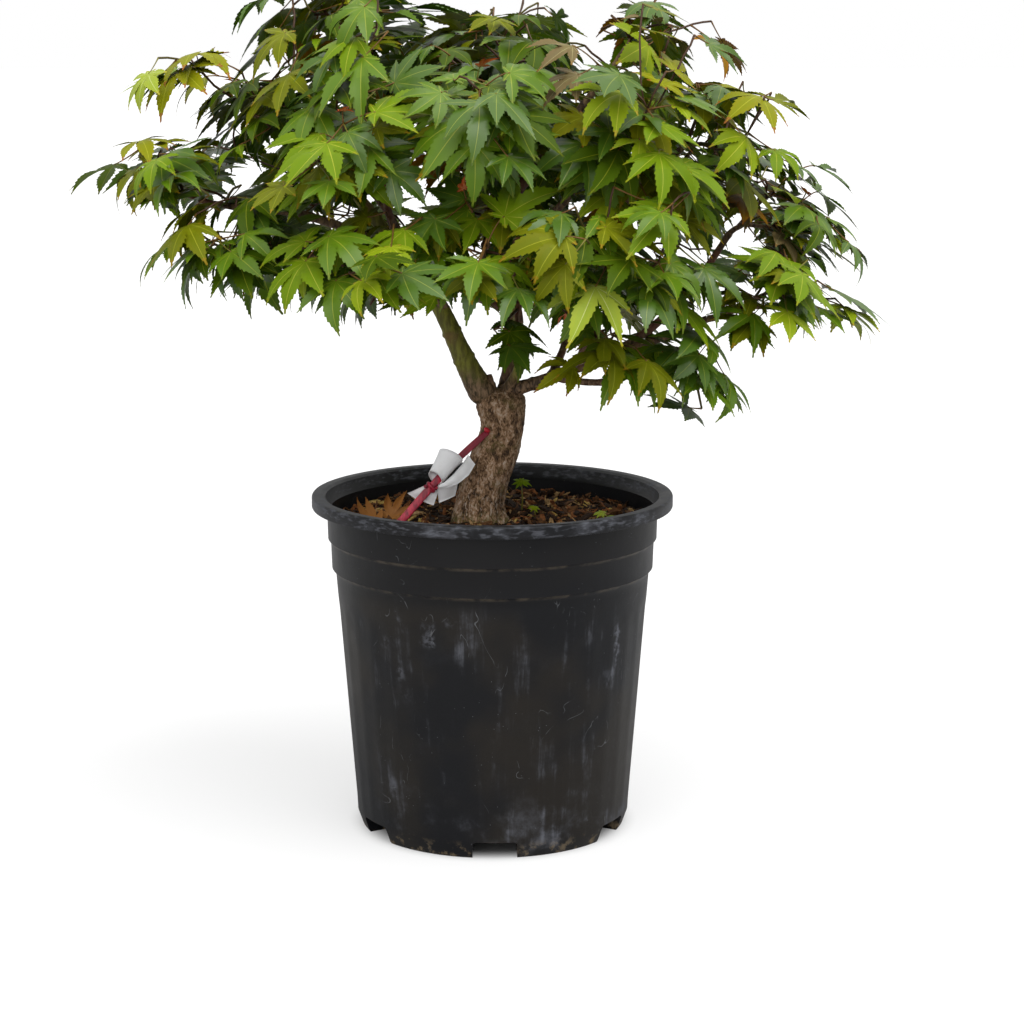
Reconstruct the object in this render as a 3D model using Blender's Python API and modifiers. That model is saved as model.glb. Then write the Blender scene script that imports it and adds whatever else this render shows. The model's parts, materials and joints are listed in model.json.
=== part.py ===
"""A young Japanese maple in a round plastic nursery pot.

The pot, the soil, the leaning trunk, each bough and each mass of leaves is an object of its own.
A mass is one closed solid: a stem that goes on from its bough's tip, opposite twigs, and palmate
leaves whose stalks are sunk in the twigs. Metres, +Z up, with the origin in the middle of the
pot's flat underside and the front of the plant at -Y.
"""

import math
import random
from dataclasses import dataclass

import bmesh
import bpy
import numpy as np
from mathutils import Matrix, Vector
from mathutils.bvhtree import BVHTree

NAME = "potted_japanese_maple"
CLEAR = 0.0003  # gap between two pieces that touch

# Pot
POT_HEIGHT = 0.2675
POT_STEPS = 32
WALL = 0.0022
RIM_RADIUS = 0.1425
RIM_WIDTH = 0.0092
RIM_DROP = 0.0100
RIM_EDGE = 0.0016  # rounding of the rolled rim
RIM_HOLLOW = 0.0040  # how far up the rim is hollow behind its skirt
MOUTH_FLARE = 0.0070  # the height over which the mouth opens out to the rim
COLLAR_RADIUS = 0.1307  # outer wall just under the rim
COLLAR_TAPER = 0.0007
BAND_DROP = 0.0022  # height of each step in the wall
FIRST_STEP_Z = 0.2325
SECOND_STEP_Z = 0.2090
SECOND_BAND_RADIUS = 0.1278
WALL_TOP_RADIUS = 0.1240
WALL_FOOT_RADIUS = 0.1088
FOOT_RADIUS = 0.1045
FOOT_Z = 0.0115
FLOOR_Z = 0.0165  # top of the floor inside

# Drainage channels under the pot, each with a hole up into the soil
CHANNELS = 6
CHANNEL_FIRST = math.radians(1.3)  # from straight ahead, towards +X
CHANNEL_WIDTH = 0.0345
CHANNEL_HEIGHT = 0.0136
CHANNEL_INNER = 0.064
CHANNEL_ROUND = 0.003
DRAIN_RADIUS = 0.0055
DRAIN_FROM_AXIS = 0.090

# Soil
SOIL_Z = 0.2460
SOIL_DIP = 0.0012  # how far the soil lies lower at the wall
SOIL_CROWN_RADIUS = 0.090

# Trunk: (x, y, z, radius), from the flat cut up to the swelling at the fork
TRUNK_SIDES = 4
TRUNK = (
    (-0.0100, -0.0120, 0.0000, 0.0226),
    (-0.0100, -0.0120, 0.0070, 0.0203),
    (-0.0088, -0.0120, 0.0180, 0.0188),
    (-0.0030, -0.0110, 0.0400, 0.0180),
    (0.0040, -0.0100, 0.0580, 0.0173),
    (0.0078, -0.0090, 0.0740, 0.0168),
    (0.0075, -0.0080, 0.0880, 0.0190),
    (0.0068, -0.0075, 0.0970, 0.0188),
    (0.0066, -0.0075, 0.1020, 0.0140),
)

# Leaves, as a share of the middle lobe's length, by angle from the middle lobe
LOBES = ((0, 1.00), (19, 0.42), (39, 0.90), (58, 0.37), (82, 0.64), (148, 0.13))
STALK = 0.50
LEAF_THICK = 0.034
LEAF_DROOP = 0.24
LEAF_LENGTH = (0.056, 0.070)
END_LEAF = 0.066
LEAF_CHOICES = 60
LEAF_CLEAR = 0.0035
LEAF_ROOM = 0.36  # least distance between two leaves' middles, as a share of a leaf's length
LEAF_MIDDLE = 0.30  # how far along its middle lobe a leaf's middle lies
HANG = 0.75  # how strongly a leaf turns down
LIFT = 0.40  # how far a leaf's upper side turns up from facing outwards
END_LIFT = 10.0  # the same for the leaf at the end of a stem
END_PULL = 3.0  # how strongly the leaf at the end of a stem points on to its reach
SUNK = 0.0040  # how far a stalk's end lies inside its twig's tip
ACROSS = 0.0005  # how far a side leaf's stalk passes its twig's middle

# Twigs
ROUNDS = 5  # each mass grows a twig in each round
SIDE_LEAVES = 3  # on each twig
TWIG_CHOICES = 90
TWIG_RADIUS = (0.0026, 0.0018)
TWIG_CLEAR = 0.0030
STEM_STEPS = 2
STEM_END_RADIUS = 0.0018
SPACE_LAP = 0.030  # how far a leaf may pass the middle between two masses, touching nothing
CROWN_MIDDLE = Vector((-0.010, 0.000, 0.500))


# The pruned stub between the boughs at the fork
STUB = (Vector((0.0010, -0.0080, 0.3380)), Vector((-0.0006, -0.0080, 0.3560)))
STUB_RADII = (0.0030, 0.0023)


@dataclass
class Bough:
    """A tapering limb and the mass of leaves that goes on from its tip."""

    name: str
    parent: str
    leaves_at: float  # share of the parent's length
    tip: tuple
    bow: tuple  # how far its middle bends away from the straight line
    radii: tuple
    reach: tuple  # the mass's furthest leaf tip
    spread: float  # length of the mass's longest twigs
    floor: float  # no leaf of the mass hangs lower
    ceiling: float = 0.705  # nor stands higher
    left: float = -0.360  # nor lies further to the left
    beside: tuple = ()  # limbs that share the fork, which it is cut clear of

    @property
    def mass(self):
        """The name of its mass of leaves."""
        return self.name.rsplit("_", 1)[0] + "_leaves"


THIN = (0.0036, 0.0026)
LIMB_STEP = 0.045
BOUGHS = (
    Bough("left_high_bough", "trunk", 0.90, (-0.155, 0.000, 0.566), (0.016, -0.010, -0.016),
          (0.0090, 0.0032), (-0.294, 0.000, 0.592), 0.080, 0.500,
          beside=("cut_stub",)),
    Bough("right_far_bough", "trunk", 0.88, (0.166, -0.026, 0.408), (-0.010, -0.008, -0.006),
          (0.0050, 0.0030), (0.322, -0.010, 0.436), 0.080, 0.385, beside=("left_high_bough",)),
    Bough("top_bough", "trunk", 0.90, (0.002, 0.000, 0.565), (0.016, 0.016, 0.004),
          (0.0060, 0.0030), (-0.009, -0.020, 0.628), 0.085, 0.515, 0.655,
          beside=("left_high_bough", "right_far_bough", "cut_stub")),
    Bough("front_middle_bough", "trunk", 0.92, (0.000, -0.085, 0.466), (0.018, 0.004, -0.012), (0.0036, 0.0026),
          (-0.013, -0.235, 0.462), 0.085, 0.398,
          beside=("left_high_bough", "right_far_bough", "top_bough")),
    Bough("left_far_branch", "left_high_bough", 0.55, (-0.200, 0.000, 0.492), (0.000, 0.000, 0.010),
          (0.0042, 0.0028), (-0.352, 0.000, 0.545), 0.080, 0.465),
    Bough("left_low_branch", "left_high_bough", 0.42, (-0.160, -0.030, 0.456), (0.000, 0.000, 0.012),
          (0.0038, 0.0026), (-0.290, -0.030, 0.464), 0.075, 0.402),
    Bough("front_left_low_branch", "left_high_bough", 0.36, (-0.071, -0.090, 0.452), (0.004, 0.004, 0.010),
          THIN, (-0.154, -0.205, 0.452), 0.085, 0.402),
    Bough("front_left_high_branch", "left_high_bough", 0.54, (-0.079, -0.080, 0.525), (-0.006, -0.002, 0.004),
          THIN, (-0.139, -0.205, 0.546), 0.085, 0.470),
    Bough("back_left_branch", "left_high_bough", 0.48, (-0.099, 0.090, 0.499), (0.000, -0.006, 0.008),
          THIN, (-0.209, 0.220, 0.490), 0.090, 0.405),
    Bough("top_left_branch", "top_bough", 0.62, (-0.102, 0.020, 0.604), (-0.006, 0.000, 0.012),
          (0.0040, 0.0026), (-0.168, 0.030, 0.704), 0.090, 0.540),
    Bough("top_right_branch", "top_bough", 0.68, (0.091, 0.010, 0.596), (0.006, 0.000, 0.008),
          (0.0040, 0.0026), (0.150, 0.020, 0.688), 0.085, 0.540),
    Bough("front_high_branch", "top_bough", 0.60, (-0.001, -0.075, 0.539), (0.000, -0.002, -0.004),
          THIN, (-0.013, -0.210, 0.577), 0.085, 0.470, 0.640),
    Bough("front_right_high_branch", "top_bough", 0.52, (0.074, -0.070, 0.528), (0.002, -0.002, -0.006),
          THIN, (0.139, -0.195, 0.563), 0.085, 0.470),
    Bough("right_high_branch", "top_bough", 0.44, (0.144, -0.010, 0.536), (0.006, 0.000, -0.008),
          (0.0040, 0.0026), (0.253, 0.000, 0.546), 0.085, 0.485),
    Bough("back_branch", "top_bough", 0.36, (-0.002, 0.100, 0.474), (0.000, 0.006, -0.006),
          THIN, (-0.012, 0.255, 0.480), 0.090, 0.405),
    Bough("back_high_branch", "top_bough", 0.76, (0.006, 0.080, 0.585), (0.000, 0.006, -0.004),
          THIN, (0.014, 0.200, 0.628), 0.095, 0.500, 0.665),
    Bough("back_right_branch", "top_bough", 0.40, (0.103, 0.090, 0.491), (0.006, 0.006, -0.008),
          THIN, (0.210, 0.210, 0.491), 0.090, 0.405),
    Bough("back_left_low_branch", "top_bough", 0.26, (-0.051, 0.090, 0.435), (0.000, 0.004, -0.004),
          THIN, (-0.097, 0.200, 0.421), 0.075, 0.380),
    Bough("front_low_branch", "front_middle_bough", 0.52, (0.020, -0.062, 0.424), (0.002, -0.002, -0.002),
          (0.0028, 0.0022), (0.020, -0.096, 0.352), 0.045, 0.347, left=-0.015),
    Bough("right_low_branch", "right_far_bough", 0.28, (0.132, -0.054, 0.380), (0.000, -0.002, -0.010),
          (0.0030, 0.0022), (0.214, -0.066, 0.346), 0.070, 0.326),
    Bough("right_mid_branch", "right_far_bough", 0.60, (0.186, 0.020, 0.470), (0.004, 0.000, -0.008),
          THIN, (0.314, 0.020, 0.486), 0.085, 0.418),
    Bough("front_right_branch", "right_far_bough", 0.44, (0.085, -0.098, 0.452), (-0.002, -0.002, -0.004),
          THIN, (0.134, -0.225, 0.458), 0.085, 0.398),
    Bough("front_right_low_branch", "right_far_bough", 0.36, (0.076, -0.080, 0.400), (0.000, -0.002, -0.004),
          (0.0030, 0.0024), (0.107, -0.170, 0.374), 0.070, 0.350),
    Bough("back_right_low_branch", "right_far_bough", 0.30, (0.071, 0.085, 0.418), (0.000, 0.002, -0.006),
          (0.0034, 0.0024), (0.108, 0.200, 0.407), 0.075, 0.365),
)

# Tie and blank tag
TIE_WIDTH = 0.0060
TIE_THICK = 0.0018
TIE_SIDES = 8
TIE_KNOT_RADIUS = 0.0042
TIE_START = (0.0020, -0.0170, 0.3215)
TIE_PATH = ((-0.0040, -0.0220, 0.3190), (-0.0262, -0.0320, 0.3000), (-0.0480, -0.0420, 0.2785))
TIE_LANDING = (-0.0745, -0.0540)
TIE_END = (-0.0990, -0.0640)
TAG_LENGTH = 0.0210
TAG_RADII = (0.0092, 0.0052)
TAG_WALL = 0.0007
TAG_STEPS = 12
TAG_FLAP = (0.0180, 0.0009, 0.0260)

# Materials: colour, roughness
MATERIALS = {
    "pot": ((0.018, 0.019, 0.022), 0.42),
    "soil": ((0.070, 0.036, 0.018), 0.95),
    "bark": ((0.150, 0.098, 0.058), 0.85),
    "leaf": ((0.075, 0.190, 0.030), 0.50),
    "tie": ((0.480, 0.020, 0.045), 0.45),
    "tag": ((0.720, 0.720, 0.740), 0.55),
}


def clear_scene():
    """Remove every object, so that the script can run again in the same file."""
    for obj in list(bpy.data.objects):
        bpy.data.objects.remove(obj, do_unlink=True)


def new_collection(name):
    """A collection under the scene's own."""
    collection = bpy.data.collections.new(name)
    bpy.context.scene.collection.children.link(collection)
    return collection


def make_material(name):
    """A Principled material with the colour and roughness that MATERIALS gives."""
    colour, roughness = MATERIALS[name]
    material = bpy.data.materials.new(name)
    material.use_nodes = True
    shader = material.node_tree.nodes["Principled BSDF"]
    shader.inputs["Base Color"].default_value = (*colour, 1.0)
    shader.inputs["Roughness"].default_value = roughness
    shader.inputs["Metallic"].default_value = 0.0
    material.diffuse_color = (*colour, 1.0)
    return material


def add_object(name, data, collection, material=None):
    """An object of this mesh or curve in a collection."""
    obj = bpy.data.objects.new(name, data)
    collection.objects.link(obj)
    if material:
        data.materials.append(material)
    return obj


def mesh_from(bm, name):
    """A mesh of this bmesh, with its faces turned outwards."""
    bmesh.ops.recalc_face_normals(bm, faces=bm.faces)
    if bm.calc_volume(signed=True) < 0.0:
        bmesh.ops.reverse_faces(bm, faces=bm.faces)
    mesh = bpy.data.meshes.new(name)
    bm.to_mesh(mesh)
    bm.free()
    return mesh


def as_mesh(obj, collection):
    """The evaluated shape of an object as a mesh object, in place of the first one."""
    graph = bpy.context.evaluated_depsgraph_get()
    mesh = bpy.data.meshes.new_from_object(obj.evaluated_get(graph))
    bm = bmesh.new()
    bm.from_mesh(mesh)
    bmesh.ops.remove_doubles(bm, verts=bm.verts, dist=0.00001)
    bmesh.ops.recalc_face_normals(bm, faces=bm.faces)
    bm.to_mesh(mesh)
    bm.free()
    name = obj.name
    made = bpy.data.objects.new(name + "_mesh", mesh)
    made.matrix_world = obj.matrix_world
    collection.objects.link(made)
    bpy.data.objects.remove(obj, do_unlink=True)
    made.name = name
    return made


def hide_as_cutter(obj):
    """Mark an object as a helper that isn't a piece of the plant."""
    obj.hide_render = True
    obj.display_type = "WIRE"


def cut(obj, cutter):
    """Cut one object, or every object of a collection, out of another."""
    modifier = obj.modifiers.new("cut_" + cutter.name, "BOOLEAN")
    modifier.operation = "DIFFERENCE"
    if isinstance(cutter, bpy.types.Collection):
        modifier.operand_type = "COLLECTION"
        modifier.collection = cutter
    else:
        modifier.object = cutter


def unite(obj, other):
    """Join another object to this one."""
    modifier = obj.modifiers.new("join_" + other.name, "BOOLEAN")
    modifier.operation = "UNION"
    modifier.object = other


def to_cutters(obj, name, collection):
    """Name a new primitive and move it to a collection of helpers."""
    for other in list(obj.users_collection):
        other.objects.unlink(obj)
    collection.objects.link(obj)
    obj.name = name
    hide_as_cutter(obj)
    return obj


def smooth(obj, angle=35.0):
    """Shade an object smooth, with its creases kept sharp."""
    obj.data.shade_smooth()
    obj.data.set_sharp_from_angle(angle=math.radians(angle))


def turned(name, profile, steps, collection, material):
    """A turned solid: a profile of (radius, height) round the Z axis."""
    bm = bmesh.new()
    corners = [bm.verts.new((radius, 0.0, height)) for radius, height in profile]
    for first, second in zip(corners, corners[1:]):
        bm.edges.new((first, second))
    mesh = bpy.data.meshes.new(name)
    bm.to_mesh(mesh)
    bm.free()
    obj = add_object(name, mesh, collection, material)
    screw = obj.modifiers.new("turn", "SCREW")
    screw.steps = steps
    screw.render_steps = steps
    screw.use_merge_vertices = True
    screw.merge_threshold = 0.00001
    return obj


def tube(name, points, radii, sides, collection, material=None):
    """A round tube through points, with a radius at each and flat ends, as a mesh."""
    curve = bpy.data.curves.new(name, "CURVE")
    curve.dimensions = "3D"
    curve.bevel_depth = radii[0]
    curve.bevel_resolution = sides
    curve.use_fill_caps = True
    spline = curve.splines.new("POLY")
    spline.points.add(len(points) - 1)
    for spot, point, radius in zip(spline.points, points, radii):
        spot.co = (*point, 1.0)
        spot.radius = radius / radii[0]
    return as_mesh(add_object(name, curve, collection, material), collection)


def bezier(start, middle, end, count):
    """Points on a curve of one bend, from start to end."""
    found = []
    for step in range(count + 1):
        t = step / count
        found.append((1 - t) ** 2 * start + 2 * t * (1 - t) * middle + t**2 * end)
    return found


# ---------------------------------------------------------------- pot and soil


def outer_wall():
    """(radius, height) down the pot's outer side, from under the rim to the floor it stands on."""
    under_rim = POT_HEIGHT - RIM_DROP
    return [
        (COLLAR_RADIUS, under_rim + RIM_HOLLOW),
        (COLLAR_RADIUS - COLLAR_TAPER, FIRST_STEP_Z),
        (SECOND_BAND_RADIUS, FIRST_STEP_Z - BAND_DROP),
        (SECOND_BAND_RADIUS - COLLAR_TAPER, SECOND_STEP_Z),
        (WALL_TOP_RADIUS, SECOND_STEP_Z - 1.8 * BAND_DROP),
        (WALL_FOOT_RADIUS, FOOT_Z),
        (FOOT_RADIUS, 0.0),
    ]


def wall_radius(height):
    """The pot's outer radius at a height below the rim."""
    wall = outer_wall()
    heights = [point[1] for point in reversed(wall)]
    radii = [point[0] for point in reversed(wall)]
    return float(np.interp(height, heights, radii))


def inner_heights(top):
    """Heights at which the pot's inner wall turns, from the floor up to top."""
    turns = [point[1] for point in reversed(outer_wall()) if FLOOR_Z < point[1] < top]
    return [FLOOR_Z, *turns, top]


def pot_profile():
    """(radius, height) of the pot from the floor's middle, over the rim, to the underside's middle."""
    under_rim = POT_HEIGHT - RIM_DROP
    mouth = RIM_RADIUS - RIM_WIDTH
    inside = [(wall_radius(z) - WALL, z) for z in inner_heights(POT_HEIGHT - MOUTH_FLARE)]
    rim = [
        (mouth - RIM_EDGE, POT_HEIGHT - RIM_EDGE),
        (mouth, POT_HEIGHT - 0.4 * RIM_EDGE),
        (mouth + RIM_EDGE, POT_HEIGHT),
        (RIM_RADIUS - 1.6 * RIM_EDGE, POT_HEIGHT),
        (RIM_RADIUS - 0.4 * RIM_EDGE, POT_HEIGHT - 0.6 * RIM_EDGE),
        (RIM_RADIUS, POT_HEIGHT - 2.0 * RIM_EDGE),
        (RIM_RADIUS - 0.2 * RIM_EDGE, under_rim),
        (RIM_RADIUS - WALL, under_rim),
        (RIM_RADIUS - WALL, under_rim + RIM_HOLLOW),
    ]
    return [(0.0, FLOOR_Z), *inside, *rim, *outer_wall(), (0.0, 0.0)]


def make_channel_cutters(collection):
    """Boxes and drain holes that cut the six drainage channels from the pot's underside."""
    depth = RIM_RADIUS - CHANNEL_INNER
    for number in range(CHANNELS):
        turn = Matrix.Rotation(CHANNEL_FIRST + number * math.tau / CHANNELS, 4, "Z")
        bpy.ops.mesh.primitive_cube_add(size=1.0)
        box = to_cutters(bpy.context.object, f"channel_{number + 1}", collection)
        size = Matrix.Diagonal((CHANNEL_WIDTH, depth, 2 * CHANNEL_HEIGHT, 1.0))
        box.data.transform(turn @ Matrix.Translation((0, -CHANNEL_INNER - depth / 2, 0)) @ size)
        edges = box.modifiers.new("round", "BEVEL")
        edges.width = CHANNEL_ROUND
        bpy.ops.mesh.primitive_cylinder_add(vertices=10, radius=DRAIN_RADIUS, depth=4 * WALL)
        hole = to_cutters(bpy.context.object, f"drain_{number + 1}", collection)
        hole.data.transform(turn @ Matrix.Translation((0, -DRAIN_FROM_AXIS, (CHANNEL_HEIGHT + FLOOR_Z) / 2)))


def make_pot(collection, cutters, material):
    """The pot: stepped wall, rolled rim, and drainage channels under the floor."""
    pot = turned("pot", pot_profile(), POT_STEPS, collection, material)
    make_channel_cutters(cutters)
    cut(pot, cutters)
    smooth(pot)


def make_soil(collection, material):
    """The soil that fills the pot, a little lower at the wall."""
    at_wall = SOIL_Z - SOIL_DIP
    side = [(wall_radius(z) - WALL - CLEAR, z + (CLEAR if z == FLOOR_Z else 0.0))
            for z in reversed(inner_heights(at_wall))]
    top = [(0.0, SOIL_Z), (SOIL_CROWN_RADIUS, SOIL_Z)]
    soil = turned("soil", [*top, *side, (0.0, FLOOR_Z + CLEAR)], POT_STEPS, collection, material)
    smooth(soil)


# ---------------------------------------------------------------- trunk and boughs


def trunk_path():
    """The trunk's points and radii."""
    points = [Vector((x, y, SOIL_Z + CLEAR + rise)) for x, y, rise, _ in TRUNK]
    return points, [radius for *_, radius in TRUNK]


def point_along(points, share):
    """The point at a share of a path's count of steps."""
    place = share * (len(points) - 1)
    index = min(int(place), len(points) - 2)
    return points[index].lerp(points[index + 1], place - index)


def limb_paths():
    """Each limb's points and radii, by name, with the trunk."""
    paths = {"trunk": trunk_path()}
    for limb in BOUGHS:
        start = point_along(paths[limb.parent][0], limb.leaves_at)
        tip = Vector(limb.tip)
        length = (tip - start).length
        count = max(2, min(6, round(length / LIMB_STEP)))
        middle = (start + tip) / 2 + 2 * Vector(limb.bow)
        base_radius, tip_radius = limb.radii
        radii = [base_radius + (tip_radius - base_radius) * step / count for step in range(count + 1)]
        paths[limb.name] = (bezier(start, middle, tip, count), radii)
    return paths


def make_limbs(paths, collection, cutters, material):
    """The trunk and its boughs, and a wider copy of each that cuts what it carries."""
    wide = {}
    for name, (points, radii) in paths.items():
        sides = TRUNK_SIDES if name == "trunk" else 2 if radii[0] > 0.0045 else 1
        limb = tube(name, points, radii, sides, collection, material)
        smooth(limb, 60.0)
        wide[name] = tube("around_" + name, points, [radius + CLEAR for radius in radii], sides, cutters)
        hide_as_cutter(wide[name])
    return wide


def make_stub(cutters, wide):
    """The pruned stub, joined to the trunk."""
    stub = tube("cut_stub", STUB, STUB_RADII, 1, cutters)
    hide_as_cutter(stub)
    unite(bpy.data.objects["trunk"], stub)
    wide["cut_stub"] = tube("around_cut_stub", STUB, [radius + CLEAR for radius in STUB_RADII], 1, cutters)
    hide_as_cutter(wide["cut_stub"])


def seat_limbs(wide):
    """Cut each bough clear of what carries it and of its neighbours at the fork."""
    limbs = [bpy.data.objects[bough.name] for bough in BOUGHS]
    for bough, limb in zip(BOUGHS, limbs):
        for other in (bough.parent, *bough.beside):
            cut(limb, wide[other])
    graph = bpy.context.evaluated_depsgraph_get()
    meshes = [bpy.data.meshes.new_from_object(limb.evaluated_get(graph)) for limb in limbs]
    for limb, mesh in zip(limbs, meshes):
        limb.modifiers.clear()
        limb.data = mesh
        keep_largest_body(limb)


# ---------------------------------------------------------------- leaves and twigs


def leaf_outline():
    """The leaf's outline round from the end of its stalk, for a middle lobe one unit long."""
    right = [(math.radians(angle), reach) for angle, reach in reversed(LOBES)]
    left = [(-angle, reach) for angle, reach in reversed(right[:-1])]
    outline = [Vector((0.0, -STALK, 0.0))]
    for angle, reach in right + left:
        droop = -LEAF_DROOP * reach**2
        outline.append(Vector((reach * math.sin(angle), reach * math.cos(angle), droop)))
    return outline


def make_leaf_mesh():
    """A palmate leaf, thickest at its middle and thin at its edge, with its stalk."""
    bm = bmesh.new()
    face = bm.faces.new([bm.verts.new(corner) for corner in leaf_outline()])
    upper = bmesh.ops.poke(bm, faces=[face])["verts"][0]
    copied = bmesh.ops.duplicate(bm, geom=[*bm.verts, *bm.edges, *bm.faces])
    lower = copied["vert_map"][upper]
    upper.co = Vector((0.0, 0.0, LEAF_THICK / 2))
    lower.co = Vector((0.0, 0.0, -LEAF_THICK / 2))
    bmesh.ops.remove_doubles(bm, verts=bm.verts, dist=0.000001)
    return mesh_from(bm, "leaf")


def leaf_samples():
    """Points spread over the leaf, to test that it keeps to its space."""
    outline = leaf_outline()
    spokes = [corner * share for corner in outline for share in (0.25, 0.5, 0.75, 1.0)]
    edges = [(a + b) / 2 for a, b in zip(outline, outline[1:])]
    return np.array([tuple(point) for point in spokes + edges])


def capsules_of(points, radii):
    """Rows of (start, end, radius) for each stretch of a path."""
    return [(*a, *b, max(ra, rb)) for a, b, ra, rb in zip(points, points[1:], radii, radii[1:])]


def nearest(samples, capsules):
    """The least distance from the samples to the surface of any capsule."""
    start, end, radius = capsules[:, None, :3], capsules[:, None, 3:6], capsules[:, None, 6]
    along = end - start
    share = ((samples[None] - start) * along).sum(-1) / (along**2).sum(-1)
    spot = start + np.clip(share, 0.0, 1.0)[..., None] * along
    return float((np.linalg.norm(samples[None] - spot, axis=-1) - radius).min())


def rod(points, radii, seat=None):
    """A three-sided tapering stretch of wood along a path, its foot square to seat, as a bmesh."""
    bm = bmesh.new()
    steps = len(points) - 1
    bmesh.ops.create_cone(bm, cap_ends=True, segments=3, radius1=1.0, radius2=1.0, depth=steps)
    for step in range(1, steps):
        geom = [*bm.verts, *bm.edges, *bm.faces]
        bmesh.ops.bisect_plane(bm, geom=geom, plane_co=(0, 0, step - steps / 2), plane_no=(0, 0, 1))
    ways = [(b - a).normalized() for a, b in zip(points, points[1:])]
    means = [(a + b).normalized() for a, b in zip([ways[0], *ways], [*ways, ways[-1]])]
    means[0] = seat or means[0]
    turns = [means[0].to_track_quat("Z", "Y")]
    for before, after in zip(means, means[1:]):
        turns.append(before.rotation_difference(after) @ turns[-1])
    for vert in bm.verts:
        step = round(vert.co.z + steps / 2)
        across = Vector((vert.co.x, vert.co.y, 0.0)) * radii[step]
        vert.co = points[step] + turns[step] @ across
    return bm


class Space:
    """The space that one mass keeps to, and the wood it stays clear of."""

    def __init__(self, bough, centres, capsules, trees):
        """Halve the way to every other mass's centre, and take in the limbs and other stems."""
        own = centres[bough.mass]
        self.trees = trees
        self.capsules = np.array(capsules)
        planes = []
        for name, other in centres.items():
            if name != bough.mass:
                away = (other - own).normalized()
                planes.append((*away, away.dot((own + other) / 2) + SPACE_LAP))
        self.planes = np.array(planes)
        self.walls = np.array([(0, 0, 1, bough.ceiling), (0, 0, -1, -bough.floor), (-1, 0, 0, -bough.left)])

    def holds(self, samples, clearance, inset=0.0):
        """Whether all samples lie in the space and clear of the wood."""
        for planes, margin in ((self.planes, inset), (self.walls, 0.0)):
            if not (samples @ planes[:, :3].T <= planes[:, 3] - margin).all():
                return False
        return nearest(samples, self.capsules) > clearance


def facing(forward, normal):
    """A rotation that takes +Z to normal and +Y as near to forward as it can."""
    upper = normal.normalized()
    side = forward.cross(upper).normalized()
    return Matrix((side, upper.cross(side), upper)).transposed()


class Leaves:
    """The leaf's mesh, its samples, and the middles and trees of all the leaves grown so far."""

    def __init__(self):
        """Make the mesh that every leaf shares."""
        self.mesh = make_leaf_mesh()
        self.corners = [vert.co.copy() for vert in self.mesh.vertices]
        self.faces = [tuple(face.vertices) for face in self.mesh.polygons]
        self.samples = leaf_samples()
        self.middles = []
        self.trees = []
        self.rods = []

    def room(self, spot):
        """The distance from a spot to the nearest leaf's middle."""
        return min(((spot - other).length for other in self.middles), default=1.0)

    def tree(self, matrix):
        """The tree of a leaf placed by a matrix."""
        return BVHTree.FromPolygons([matrix @ corner for corner in self.corners], self.faces)


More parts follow.
